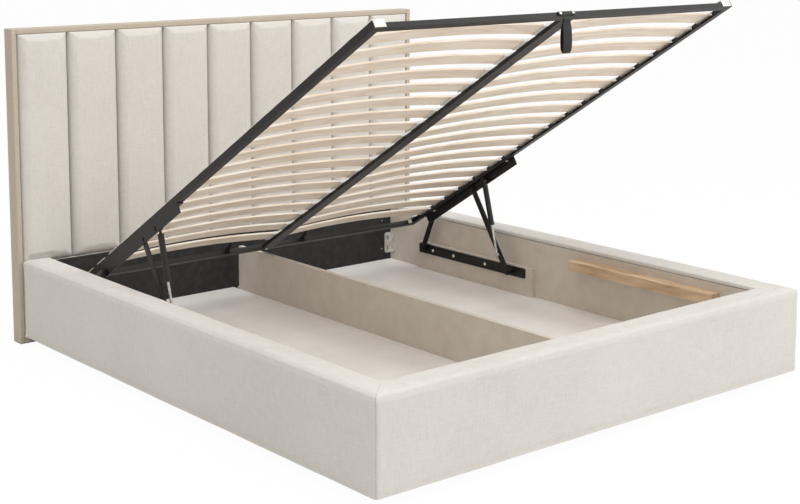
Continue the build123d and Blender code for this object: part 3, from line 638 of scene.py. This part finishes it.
@dataclass(frozen=True)
class Stuffing:
    """Padding that swells a closed form as stuffed cloth does, by a short cloth simulation."""

    voxel: float
    pressure: float
    frames: int
    # The furthest that a point of the cloth may move.
    reach: float
    # Upholstery cloth hardly stretches, and bends easily.
    stretch_stiffness: float = 30
    bend_stiffness: float = 2.0

    def swell(self, piece: Piece, held: Callable[[Vector], bool]) -> None:
        """Remesh a form evenly and swell it.

        Args:
            piece: Closed mesh, slightly smaller than the pad.
            held: Says which points are glued to the board.
        """
        activate(piece)
        piece.data.remesh_voxel_size = self.voxel
        piece.data.use_remesh_preserve_volume = True
        bpy.ops.object.voxel_remesh()
        start = [v.co.copy() for v in piece.data.vertices]
        self.simulate(piece, [v.index for v in piece.data.vertices if held(v.co)])
        for vertex, old in zip(piece.data.vertices, start):
            step = vertex.co - old
            if step.length > self.reach:
                vertex.co = old + step * (self.reach / step.length)

    def simulate(self, piece: Piece, glued: list[int]) -> None:
        """Run the cloth with the glued points held and keep its last frame."""
        group = piece.vertex_groups.new(name="glued")
        group.add(glued, 1.0, "REPLACE")
        cloth = piece.modifiers.new("Cloth", "CLOTH")
        cloth.settings.use_pressure = True
        cloth.settings.uniform_pressure_force = self.pressure
        cloth.settings.effector_weights.gravity = 0.0
        cloth.settings.vertex_group_mass = group.name
        cloth.settings.tension_stiffness = self.stretch_stiffness
        cloth.settings.compression_stiffness = self.stretch_stiffness
        cloth.settings.bending_stiffness = self.bend_stiffness
        cloth.point_cache.frame_start = 1
        cloth.point_cache.frame_end = self.frames
        for frame in range(1, self.frames + 1):
            bpy.context.scene.frame_set(frame)
        activate(piece)
        bpy.ops.object.modifier_apply(modifier=cloth.name)
        bpy.context.scene.frame_set(1)
        piece.vertex_groups.clear()


def dress(material: Material, *nodes: str) -> None:
    """Give carried-over nodes their material."""
    for name in nodes:
        paint(bpy.data.objects[name], material)
        LOG.info("dressed %s", name)


def both(*stems: str) -> list[str]:
    """Give the left and the right node of each stem."""
    return [f"{stem}_{side.name.lower()}" for stem in stems for side in Side]


def corners(node: str) -> tuple[Vector, Vector]:
    """Give a node's lowest and highest corners."""
    low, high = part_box(node)
    return Vector(low), Vector(high)


def declare(piece: Piece, material: Material, angle: float, body: str, node: str) -> None:
    """Args:
        piece: The piece.
        material: Its material.
        angle: Edges that turn by fewer degrees are shaded smooth.
        body: Body that it rides on.
        node: Node that it stands for.
    """
    paint(piece, material)
    activate(piece)
    bpy.ops.object.shade_smooth_by_angle(angle=math.radians(angle))
    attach(piece, body)
    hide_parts(node)
    LOG.info("made %s: %d faces", piece.name, len(piece.data.polygons))


def finish_soft(piece: Piece, material: Material, node: str) -> None:
    """Finish a padded piece of the still part."""
    declare(piece, material, 60, "base", node)


# Sub-assemblies


@dataclass
class BoxPads:
    """Padded rails and footboard of the bed box."""

    finishes: Finishes
    fill: float = 0.9
    stuffing: Stuffing = Stuffing(voxel=6 * MM, pressure=3.0, frames=12, reach=3.5 * MM)
    # Air over a board's top and over the pad.
    board_air: float = 1 * MM
    top_air: float = 0.5 * MM
    # How far from the board the cloth counts as glued.
    glue: float = 4 * MM
    glue_top: float = 2 * MM
    # Roundings: outer shoulder, inner lip, lower edge.
    corner: float = 4 * MM
    lip: float = 3 * MM
    hem: float = 3 * MM
    # The cloth is pulled tight round the lower edge, so it stays sharper than swelling leaves it.
    hem_reach: float = 25 * MM
    hem_push: float = 8 * MM
    hem_drop: float = 0.5
    # How far the outer face's edges fall back.
    rise: float = 0.4 * MM
    # The top's swelling: height, share of the pad that takes part, crest's place outwards.
    bulge: float = 2.5 * MM
    brow: float = 0.2
    crest: float = 2.2
    # The cloth's ripples, and how far it sinks back among them.
    ripple: float = 0.35 * MM
    ripple_up: float = 0.25 * MM
    sink: float = 0.3 * MM
    long_wave: Triple = (9.1, 7.3, 0.7)
    short_wave: Triple = (23.7, -19.1, 0)
    up_wave: Triple = (31.0, 4.0, 0)
    # Foot corners: what the mitre cuts off, the seam's gap and the groove along it.
    spare: float = 60 * MM
    seam: float = 0.9 * MM
    groove: float = 6 * MM
    groove_reach: float = 10 * MM
    groove_length: float = 60 * MM
    groove_fade: float = 25 * MM

    def round_long_edges(self, pad: Piece, along: Axis, low: Vector, high: Vector) -> None:
        """Round the long edges, the outer shoulder a little more than the lip and the hem.

        Args:
            pad: The pad before its mitres are cut.
            along: Axis that the pad runs along.
            low: Lowest corner of its section.
            high: Highest corner of its section.
        """
        def found(edge: Edge, outside: bool, level: float) -> bool:
            """Say whether an edge runs along the pad on the given side, at the given height."""
            start, end = edge.verts[0].co, edge.verts[1].co
            if abs((end - start).normalized()[along]) < 0.99:
                return False
            middle = (start + end) / 2
            gap = high.x - middle.x if along is Axis.Y else middle.y - low.y
            return (gap < MM) == outside and abs(middle.z - level) < MM

        for outside, level, width, segments in ((True, high.z, self.corner, 5),
                                                (False, high.z, self.lip, 3),
                                                (True, low.z, self.hem, 3)):
            bevel_edges(pad, lambda e: found(e, outside, level), width, segments)

    def crown(self, pad: Piece, along: Axis, low: Vector, high: Vector) -> None:
        """Bow the outer face and swell the top, most near its outer side, as foam under cloth does.

        Args:
            pad: The swollen pad.
            along: Axis that the pad runs along.
            low: Lowest corner of its space.
            high: Highest corner of it.
        """
        edge_in, edge_out = (low.x, high.x) if along is Axis.Y else (high.y, low.y)
        across = Axis.X if along is Axis.Y else Axis.Y
        outward = math.copysign(1, edge_out)
        for vertex in pad.data.vertices:
            co = vertex.co
            up = clamp((co.z - low.z) / (high.z - low.z))
            out = clamp((co[across] - edge_in) / (edge_out - edge_in))
            if out > 0.5:
                co[across] -= self.rise * (2 * up - 1) ** 2 * (2 * out - 1) * outward
                hem = max(1 - (co.z - low.z) / self.hem_reach, 0)
                co[across] += self.hem_push * hem * hem * (2 * out - 1) * outward
                co.z -= self.hem_drop * hem * (co.z - low.z)
            brow = max(up - 1 + self.brow, 0) / self.brow
            co.z += self.bulge * math.sin(math.pi * out ** self.crest) * brow

    def soften(self, pad: Piece) -> None:
        """Let the cloth ripple very slightly, alike on both sides of the bed."""
        normals = [v.normal.copy() for v in pad.data.vertices]
        for vertex, normal in zip(pad.data.vertices, normals):
            co = vertex.co
            side = abs(co.x)
            along = wave(co.y, side, self.long_wave) + 0.6 * wave(co.y, side, self.short_wave)
            up = wave(co.z, co.y, self.up_wave)
            vertex.co = co + normal * (self.ripple * along + self.ripple_up * up - self.sink)

    def mitre(self, pad: Piece, corner: Vector, sign: int, rail: bool) -> None:
        """Cut a foot corner's mitre and pull the cloth in along its upright seam.

        Args:
            pad: The pad, which runs past the corner.
            corner: The corner of the two outer faces.
            sign: Side of the corner along X.
            rail: Whether the pad is a rail's, else the footboard's.
        """
        keep = 1 if rail else -1
        split(pad, (corner.x, corner.y + keep * self.seam / 2, 0), (-keep * sign, -keep, 0), drop=True)
        for vertex in pad.data.vertices:
            co = vertex.co
            over, beside = co.x - corner.x, co.y - corner.y
            gap = abs(over * sign + beside) / math.sqrt(2)
            if gap > self.groove_reach or abs(over) + abs(beside) > self.groove_length:
                continue
            near = (1 - gap / self.groove_reach) ** 2
            upright = clamp((corner.z - co.z) / self.groove_fade)
            step = self.groove * near * upright / math.sqrt(2)
            co.x -= step * sign
            co.y += step

    def side(self) -> Piece:
        """Make the right rail's pad: an L that wraps its board's outside and top."""
        low, high = corners("rail_pad_right")
        board, board_top = corners("rail_board_right")[1].xz
        top_pad = high.z - board_top - self.board_air
        tight = self.stuffing.reach / 2
        wide_low = Vector((low.x, low.y - self.spare, low.z))
        wide_high = Vector((high.x - tight, high.y, high.z - self.top_air))
        start = board + tight
        pad = block("rail_cushion_right", (start, wide_low.y, low.z), wide_high)
        ledge = wide_high.z - (top_pad - tight)
        split(pad, (0, 0, ledge), (0, 0, 1))
        push_faces(pad, lambda f: f.normal.x < -FACING and f.calc_center_median().z > ledge,
                   (low.x - start, 0, 0))
        self.round_long_edges(pad, Axis.Y, wide_low, wide_high)
        glued = board + self.glue, high.z - top_pad + self.glue_top
        self.finish(pad, lambda co: co.x < glued[0] and co.z < glued[1], wide_low, high)
        self.crown(pad, Axis.Y, low, high)
        self.soften(pad)
        foot = corners("footboard_pad")[0].y
        self.mitre(pad, Vector((high.x, foot, high.z)), Side.RIGHT.value, True)
        return pad

    def foot(self) -> Piece:
        """Make the footboard's pad."""
        low, high = corners("footboard_pad")
        rail_side = corners("rail_pad_right")[1].x
        board = corners("footboard_board")[0].y
        top_pad = high.z - corners("footboard_board")[1].z - self.board_air
        tight = self.stuffing.reach / 2
        wide_low = Vector((-rail_side - self.spare, low.y, low.z))
        wide_high = Vector((rail_side + self.spare, high.y, high.z))
        front, top = low.y + tight, high.z - self.top_air
        pad = block("footboard_cushion", (wide_low.x, front, low.z), (wide_high.x, board - tight, top))
        ledge = high.z - top_pad
        split(pad, (0, 0, ledge), (0, 0, 1))
        push_faces(pad, lambda f: f.normal.y > FACING and f.calc_center_median().z > ledge,
                   (0, high.y - board + tight, 0))
        self.round_long_edges(pad, Axis.X, Vector((low.x, front, low.z)), Vector((high.x, high.y, top)))
        glued = board - self.glue, ledge + self.glue_top
        self.finish(pad, lambda co: co.y > glued[0] and co.z < glued[1], wide_low, wide_high)
        self.crown(pad, Axis.X, low, high)
        self.soften(pad)
        for side in Side:
            self.mitre(pad, Vector((side.value * rail_side, low.y, high.z)), side.value, False)
        return pad

    def finish(self, pad: Piece, held: Callable[[Vector], bool], low: Vector, high: Vector) -> None:
        """Swell the pad, smooth it and keep it within its space.

        Args:
            pad: The pad.
            held: Says which points are glued to the board.
            low: Lowest corner of the space.
            high: Highest corner of it.
        """
        self.stuffing.swell(pad, held)
        apply_modifier(pad, "SMOOTH", factor=0.4, iterations=2)
        for vertex in pad.data.vertices:
            vertex.co = [clamp(*values) for values in zip(vertex.co, low, high)]

    def build(self) -> None:
        """Build all three pads and dress the boards under them."""
        right = self.side()
        left = copied(right, "rail_cushion_left", Matrix.Scale(-1, 4, (1, 0, 0)))
        pads = {"rail_pad_right": right, "rail_pad_left": left, "footboard_pad": self.foot()}
        for node, pad in pads.items():
            finish_soft(pad, self.finishes.pale, node)
        dress(self.finishes.lining, *both("rail_board"), "footboard_board")


@dataclass
class Headboard:
    """Wrapped border, nine upright cushions and the plain lower panel."""

    finishes: Finishes
    channels: int = 9
    channel_fill: float = 0.8
    stuffing: Stuffing = Stuffing(voxel=5 * MM, pressure=4.0, frames=16, reach=4 * MM)
    glue: float = 9 * MM
    # Left free in front of a cushion and beside it.
    front_air: float = 3 * MM
    seam: float = 0.7 * MM
    # A cushion's rounding, and how flat it is.
    shoulder: float = 30 * MM
    flat: float = 0.82
    # Puckers beside the seams and broad waves everywhere.
    seam_share: float = 0.3
    pucker: float = 0.6 * MM
    pucker_wave: Triple = (43.0, 5, 0)
    broad: float = 0.4 * MM
    broad_wave: Triple = (9.0, 23.0, 0)
    # How far from the back it neither ripples nor fills out.
    still: float = 6 * MM
    still_top: float = 20 * MM
    top_fill: float = 7 * MM
    widen: float = 1.012
    # The side rails' ends press into the outer cushions.
    rail_inner: float = 831 * MM
    rail_top: float = 330 * MM
    rail_end: float = 1027.5 * MM
    dent_reach: float = 14 * MM
    # Rounding of the wrapped boards.
    edge: float = 3 * MM

    def cushion(self, low: Vector, high: Vector, pitch: float) -> Piece:
        """Make one upright cushion at the middle.

        Args:
            low: Lowest corner of all channels together.
            high: Highest corner.
            pitch: Width of one channel.

        Returns:
            The cushion.
        """
        half = pitch / 2 - self.seam
        deep = high.y - low.y - self.front_air
        pad = block("channel_cushion_5", (-half, high.y - deep / self.flat, low.z),
                    (half, high.y, high.z))
        bevel_edges(pad, lambda e: max(v.co.y for v in e.verts) < high.y - deep, self.shoulder, 6)
        activate(pad)
        bpy.ops.transform.resize(value=(1, self.flat, 1), center_override=(0, high.y, 0))
        settle(pad)
        self.stuffing.swell(pad, lambda co: co.y > high.y - self.glue)
        apply_modifier(pad, "SMOOTH", factor=0.5, iterations=22)
        for vertex in pad.data.vertices:
            co = vertex.co
            face = clamp((high.y - self.still - co.y) / deep)
            pull = max(abs(co.x) / half - 1 + self.seam_share, 0) / self.seam_share
            ripple = (self.pucker * pull * wave(co.z, co.x, self.pucker_wave)
                      + self.broad * wave(co.z, co.x, self.broad_wave))
            co.y = clamp(co.y + face * ripple, low.y, high.y)
            top = clamp((co.z - high.z + self.shoulder) / self.shoulder)
            middle_share = 1 - min(abs(co.x) / half, 1) ** 4
            if co.y < high.y - self.still_top:
                co.y -= self.top_fill * top * top * middle_share
            co.x = clamp(co.x * self.widen, -half, half)
            co.z = clamp(low.z + (co.z - low.z) * self.widen, low.z, high.z)
        return pad

    def channels_row(self) -> None:
        """Copy the cushion across the headboard."""
        low, high = corners("headboard_channels")
        inner = corners("headboard_top_rail")
        pitch = (inner[1].x - inner[0].x) / self.channels
        first = self.cushion(low, high, pitch)
        middle = (self.channels - 1) // 2
        row = [first if number == middle else
               copied(first, f"channel_cushion_{number + 1}",
                      Matrix.Translation((pitch * (number - middle), 0, 0)))
               for number in range(self.channels)]
        self.press(row[0])
        self.press(row[-1])
        for cushion in row:
            finish_soft(cushion, self.finishes.pale,
                        "headboard_channels")

    def press(self, cushion: Piece) -> None:
        """Press an outer cushion's lower corner back where a side rail's end meets it."""
        for vertex in cushion.data.vertices:
            co = vertex.co
            inside = (abs(co.x) - self.rail_inner) / self.dent_reach + 1
            below = (self.rail_top - co.z) / self.dent_reach + 1
            share = clamp(min(inside, below))
            share = share * share * (3 - 2 * share)
            co.y += share * max(self.rail_end - co.y, 0)

    def border(self) -> None:
        """Wrap the posts and the top rail."""
        for node in (*both("headboard_post"), "headboard_top_rail"):
            bar = block("wrapped_" + node, *corners(node))
            bevel_edges(bar, lambda e: True, self.edge, 4)
            apply_modifier(bar, "SUBSURF", levels=1, render_levels=1, subdivision_type="SIMPLE")
            finish_soft(bar, self.finishes.border, node)

    def lower_panel(self) -> None:
        """Cover the lower panel and dress the back."""
        panel = block("wrapped_lower_panel", *corners("headboard_lower_panel"))
        bevel_edges(panel, lambda e: True, self.edge, 3)
        finish_soft(panel, self.finishes.pale, "headboard_lower_panel")
        dress(self.finishes.border, "headboard_back_board")
        dress(self.finishes.zinc, "headboard_bolts")

    def build(self) -> None:
        """Build the headboard."""
        self.border()
        self.channels_row()
        self.lower_panel()


@dataclass
class StorageBox:
    """Panels, divider, battens and brackets inside the box."""

    finishes: Finishes

    def build(self) -> None:
        """Dress the box's inside."""
        dress(self.finishes.lining, "divider_board", *both("gear_panel"))
        dress(self.finishes.floor, *both("floor_panel"))
        dress(self.finishes.felt, "head_panel")
        dress(self.finishes.pine, *both("batten"))
        dress(self.finishes.rough_pine, "floor_cleats", "centre_bearer")
        dress(self.finishes.zinc, "corner_brackets", "bracket_screws")
        dress(self.finishes.black_plastic, "feet")


@dataclass
class LiftGear:
    """Bars, links, plates and gas springs of both sides."""

    finishes: Finishes

    def build(self) -> None:
        """Dress the lifting gear."""
        dress(self.finishes.steel, *both("base_bar", "long_link", "short_link", "upper_plate"),
              "base_pivot_studs", "spring_studs", "short_link_rivets", "upper_plate_studs")
        dress(self.finishes.black, *both("gas_cylinder"))
        dress(self.finishes.rod, *both("gas_rod"))
        dress(self.finishes.white_paint, "base_bar_screws", "upper_plate_screws")


@dataclass
class SlatPlatform:
    """Steel frame, bowed slats and their plastic holders."""

    finishes: Finishes
    # The raised platform's tilt in degrees, and its foot end's Y and Z.
    tilt: float = 31.3
    foot_end: tuple[float, float] = (-891.52 * MM, 1296.009 * MM)
    slats: int = 18
    first: float = 118 * MM
    step: float = 1742 / 17 * MM
    slat_width: float = 60 * MM
    # A clip's sleeve.
    wall: float = 1.2 * MM
    mouth: float = 4 * MM
    sleeve_low: float = 13.4 * MM
    sleeve_high: float = 24.2 * MM
    side_reach: float = 20 * MM
    centre_reach: float = 41 * MM
    # The side angle's wall, and the clip's riser and hook over it.
    wall_inner: float = 781 * MM
    wall_outer: float = 784 * MM
    wall_top: float = 25 * MM
    riser: float = 8 * MM
    hook_top: float = 27.6 * MM
    hook: float = 1.6 * MM
    # The rib over the tee's web: half width and height.
    rib: float = 5 * MM
    rib_high: float = 2.4 * MM
    # A clip's rounding, on edges longer than this that turn by more radians than this.
    rounding: float = 0.5 * MM
    short_edge: float = 4 * MM
    turn: float = 0.8

    def raised(self) -> Matrix:
        """Give the place of the raised platform."""
        up = Matrix.Translation((0, *self.foot_end))
        return up @ Matrix.Rotation(math.radians(-self.tilt), 4, "X")

    def sleeve(self, name: str, start: float, end: float, *mouths: Side) -> Piece:
        """Make a clip's sleeve for one slat, with walls round its mouths.

        Args:
            name: Name of the clip.
            start: X of its left end.
            end: X of its right end.
            mouths: Ends that a slat goes into.

        Returns:
            The sleeve at the platform's own origin.
        """
        half = self.slat_width / 2 + self.wall
        clip = block(name, (start, -half, self.sleeve_low), (end, half, self.sleeve_high))
        for sign in (mouth.value for mouth in mouths):
            reach = max(sign * v.co.x for v in clip.data.vertices)
            select_where(clip, lambda f: sign * f.normal.x > FACING
                         and sign * f.calc_center_median().x > reach - MM, faces=True)
            bpy.ops.mesh.inset(thickness=self.wall, depth=-self.mouth)
            bpy.ops.object.mode_set(mode="OBJECT")
        return clip

    def side_clip(self) -> Piece:
        """Make the right side's slim clip: a sleeve, a riser and a hook over the angle's edge."""
        clip = self.sleeve("side_clip", self.wall_inner - self.side_reach, self.wall_inner, Side.LEFT)
        riser = self.wall_inner - self.riser
        split(clip, (riser, 0, 0), (1, 0, 0))
        push_faces(clip, lambda f: f.normal.z > FACING and f.calc_center_median().x > riser,
                   (0, 0, self.wall_top - self.sleeve_high), (0, 0, self.hook_top - self.wall_top))
        push_faces(clip, lambda f: f.normal.x > FACING and f.calc_center_median().z > self.wall_top,
                   (self.wall_outer - self.wall_inner + self.hook, 0, 0))
        return clip

    def centre_clip(self) -> Piece:
        """Make the tee's clip: one sleeve with a mouth each side and a rib over the web."""
        clip = self.sleeve("centre_clip", -self.centre_reach, self.centre_reach, *Side)
        for edge in (-self.rib, self.rib):
            split(clip, (edge, 0, 0), (1, 0, 0))
        push_faces(clip, lambda f: f.normal.z > FACING and abs(f.calc_center_median().x) < MM,
                   (0, 0, self.rib_high))
        return clip

    def row(self, clip: Piece, name: str, sides: Iterable[Side], node: str) -> None:
        """Copy a clip to every slat on the given sides and join the copies.

        Args:
            clip: The clip at the platform's own origin.
            name: Name of the joined piece.
            sides: Sides that get a row.
            node: Node that the row stands for.
        """
        bevel_edges(clip, lambda e: e.calc_length() > self.short_edge
                    and e.calc_face_angle(0) > self.turn, self.rounding, 1)
        copies = []
        for side in sides:
            flip = Matrix.Scale(side.value, 4, (1, 0, 0))
            for number in range(self.slats):
                place = Matrix.Translation((0, self.first + number * self.step, 0))
                copies.append(copied(clip, f"{name}_{len(copies)}", self.raised() @ place @ flip))
        bpy.data.objects.remove(clip)
        joined = copies[0]
        activate(joined)
        for piece in copies:
            piece.select_set(True)
        bpy.ops.object.join()
        rename(joined, name)
        declare(joined, self.finishes.white, 30, "platform", node)

    def build(self) -> None:
        """Dress the platform and model its clips."""
        dress(self.finishes.steel, *both("side_angle"), "foot_angle", "head_angle", "centre_tee",
              "step_brackets", "strap_plate")
        dress(self.finishes.slat, *both("slats"))
        dress(self.finishes.white, "corner_caps")
        dress(self.finishes.white_paint, "tee_bolt")
        dress(self.finishes.zinc, "strap_bolts")
        self.row(self.side_clip(), "side_clips", Side, "slat_caps_side")
        self.row(self.centre_clip(), "centre_clips", (Side.RIGHT,), "slat_caps_centre")


@dataclass
class PullStrap:
    """Webbing loop on the foot angle: one band down, round its fold and up again."""

    finishes: Finishes
    thick: float = 2.2 * MM
    # Depth under the pin and half the opening there, down the front ply to the fold, in mm.
    plies: tuple[tuple[float, float], ...] = ((4.0, 1.3), (16, 1.6), (44, 5.4), (72, 6.6), (96, 5.6),
                                              (108.5, 2.6))
    # Width under the plate, and the share of the drop that opens it.
    pinch: float = 0.42
    opened: float = 0.3
    # How much the end narrows, over this last share of the drop.
    narrowing: float = 0.16
    end_share: float = 0.14
    # Sideways lean at the end, how late it comes and the shift back at the top.
    lean: float = 1 * MM
    lean_late: float = 1.2
    lean_back: float = 0.15
    # The diagonal fold's depth, slope, place and width.
    fold: float = 1.6 * MM
    fold_slope: float = 1.5
    fold_place: float = 0.9
    fold_width: float = 0.22

    def band(self, low: Vector, high: Vector) -> Piece:
        """Sweep the webbing along its loop as a flat ribbon.

        Args:
            low: Lowest corner of the strap's space.
            high: Highest corner of it.

        Returns:
            The ribbon as a mesh.
        """
        middle = ((low.x + high.x) / 2, (low.y + high.y) / 2, high.z - self.thick)
        clear_selection()
        bpy.ops.curve.primitive_bezier_circle_add(location=middle)
        ribbon = bpy.context.object
        ribbon.name = "webbing_loop"
        ribbon.data.dimensions = "2D"
        ribbon.data.fill_mode = "NONE"
        ribbon.data.extrude = (high.x - low.x) / 2 - self.thick / 2
        ribbon.data.bevel_depth = self.thick / 2
        ribbon.data.bevel_resolution = 2
        ribbon.data.resolution_u = 8
        front = [(-half * MM, -deep * MM) for deep, half in self.plies]
        end = [(0.0, low.z + self.thick / 2 - middle[2])]
        back = [(-across, up) for across, up in reversed(front)]
        route = front + end + back
        spline = ribbon.data.splines[0]
        spline.bezier_points.add(len(route) - len(spline.bezier_points))
        for point, (across, up) in zip(spline.bezier_points, route):
            point.co = (across, up, 0)
            point.handle_left_type = point.handle_right_type = "AUTO"
        # The curve's own X, Y and Z stand along the bed's Y, Z and X.
        ribbon.rotation_euler = Matrix(((0, 0, 1), (1, 0, 0), (0, 1, 0))).to_euler()
        bpy.ops.object.convert(target="MESH")
        settle(ribbon)
        return ribbon

    def drape(self, ribbon: Piece, low: Vector, high: Vector) -> None:
        """Pinch the band under its plate and let it hang a little askew, with a soft diagonal fold.

        Args:
            ribbon: The band.
            low: Lowest corner of the strap's space.
            high: Highest corner of it.
        """
        centre = (low.x + high.x) / 2
        for vertex in ribbon.data.vertices:
            co = vertex.co
            deep = clamp((high.z - co.z) / (high.z - low.z))
            across = (co.x - centre) / (high.x - low.x) * 2
            open_share = 1 - (1 - min(deep / self.opened, 1)) ** 2
            width = self.pinch + (1 - self.pinch) * open_share
            width *= 1 - self.narrowing * max(deep - 1 + self.end_share, 0) / self.end_share
            lean = self.lean * (deep ** self.lean_late - self.lean_back)
            co.x = centre + (co.x - centre) * width + lean
            near = (across - self.fold_slope * deep + self.fold_place) / self.fold_width
            co.y -= self.fold * math.exp(-near ** 2) * math.sin(math.pi * deep)

    def build(self) -> None:
        """Model the loop and dress its flat end."""
        low, high = corners("pull_strap")
        loop = self.band(low, high)
        self.drape(loop, low, high)
        edit_all(loop)
        bpy.ops.mesh.remove_doubles(threshold=0.02 * MM)
        bpy.ops.mesh.normals_make_consistent(inside=False)
        bpy.ops.object.mode_set(mode="OBJECT")
        declare(loop, self.finishes.tape, 40, "pull_strap", "pull_strap")
        dress(self.finishes.tape, "strap_end")


@dataclass(frozen=True)
class Lamp:
    """One soft square lamp."""

    name: str
    place: Triple
    size: float
    watts: float
    aim: Triple = (0, 0, 0.4)

    def hang(self) -> None:
        """Add the lamp to the scene."""
        data = bpy.data.lights.new(self.name, "AREA")
        data.size = self.size
        data.energy = self.watts
        lamp = bpy.data.objects.new(self.name, data)
        bpy.context.collection.objects.link(lamp)
        lamp.location = self.place
        lamp.rotation_euler = (Vector(self.aim) - Vector(self.place)).to_track_quat("-Z", "Y").to_euler()


@dataclass
class Studio:
    """Floor, lights and the camera at the photograph's viewing angle."""

    finishes: Finishes
    # The camera solved from the photograph: place in metres, angles in degrees.
    eye: Triple = (-3.434, -4.201, 1.611)
    yaw: float = 39.633
    pitch: float = -7.165
    focal_px: float = 1529.4
    image: tuple[int, int] = (800, 504)
    centre_row: float = 106.2
    sensor_mm: float = 36.0
    lamps: tuple[Lamp, ...] = (Lamp("key", (5.0, -6.0, 4.8), 2.6, 235),
                               Lamp("overhead", (-0.8, -1.2, 6.4), 4.5, 230))
    daylight: str = "FFF9F1"
    daylight_strength: float = 0.58

    def floor(self) -> None:
        """Lay the pale floor."""
        clear_selection()
        bpy.ops.mesh.primitive_plane_add(size=60, location=(0, 0, 0))
        floor = bpy.context.object
        floor.name = "studio_floor"
        settle(floor)
        paint(floor, self.finishes.paper)

    def camera(self) -> None:
        """Stand the camera where the photograph was taken."""
        data = bpy.data.cameras.new("camera")
        data.sensor_width = self.sensor_mm
        data.lens = self.focal_px / self.image[0] * self.sensor_mm
        data.shift_y = -(self.image[1] / 2 - self.centre_row) / self.image[0]
        data.clip_end = 200
        camera = bpy.data.objects.new("camera", data)
        bpy.context.collection.objects.link(camera)
        camera.location = self.eye
        camera.rotation_euler = (math.radians(90 + self.pitch), 0, math.radians(-self.yaw))
        bpy.context.scene.camera = camera

    def world(self) -> None:
        """Light all round evenly, and show white behind, in mirrors and through clear things."""
        world = bpy.data.worlds.new("studio")
        world.use_nodes = True
        tree = world.node_tree
        tree.nodes.clear()
        fill = add_node(tree, "ShaderNodeBackground", {"Color": linear(self.daylight),
                                                       "Strength": self.daylight_strength})
        white = add_node(tree, "ShaderNodeBackground", {"Color": WHITE, "Strength": 1.0})
        path = add_node(tree, "ShaderNodeLightPath")
        seen = path.outputs["Is Camera Ray"]
        for ray in ("Is Glossy Ray", "Is Transmission Ray"):
            seen = add_node(tree, "ShaderNodeMath", {0: seen, 1: path.outputs[ray]},
                            operation="MAXIMUM").outputs[0]
        mix = add_node(tree, "ShaderNodeMixShader", {0: seen, 1: fill.outputs[0], 2: white.outputs[0]})
        add_node(tree, "ShaderNodeOutputWorld", {"Surface": mix.outputs[0]})
        bpy.context.scene.world = world

    def build(self) -> None:
        """Set up the studio."""
        self.floor()
        self.camera()
        for lamp in self.lamps:
            lamp.hang()
        self.world()
        bpy.context.scene.view_settings.view_transform = "Standard"


def main() -> None:
    """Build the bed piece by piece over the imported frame."""
    logging.basicConfig(level=logging.INFO, format="%(name)s: %(message)s")
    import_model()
    finishes = Finishes()
    for part in (BoxPads(finishes), Headboard(finishes), StorageBox(finishes), LiftGear(finishes),
                 SlatPlatform(finishes), PullStrap(finishes), Studio(finishes)):
        part.build()
        LOG.info("finished %s", type(part).__name__)


if __name__ == "__main__":
    main()
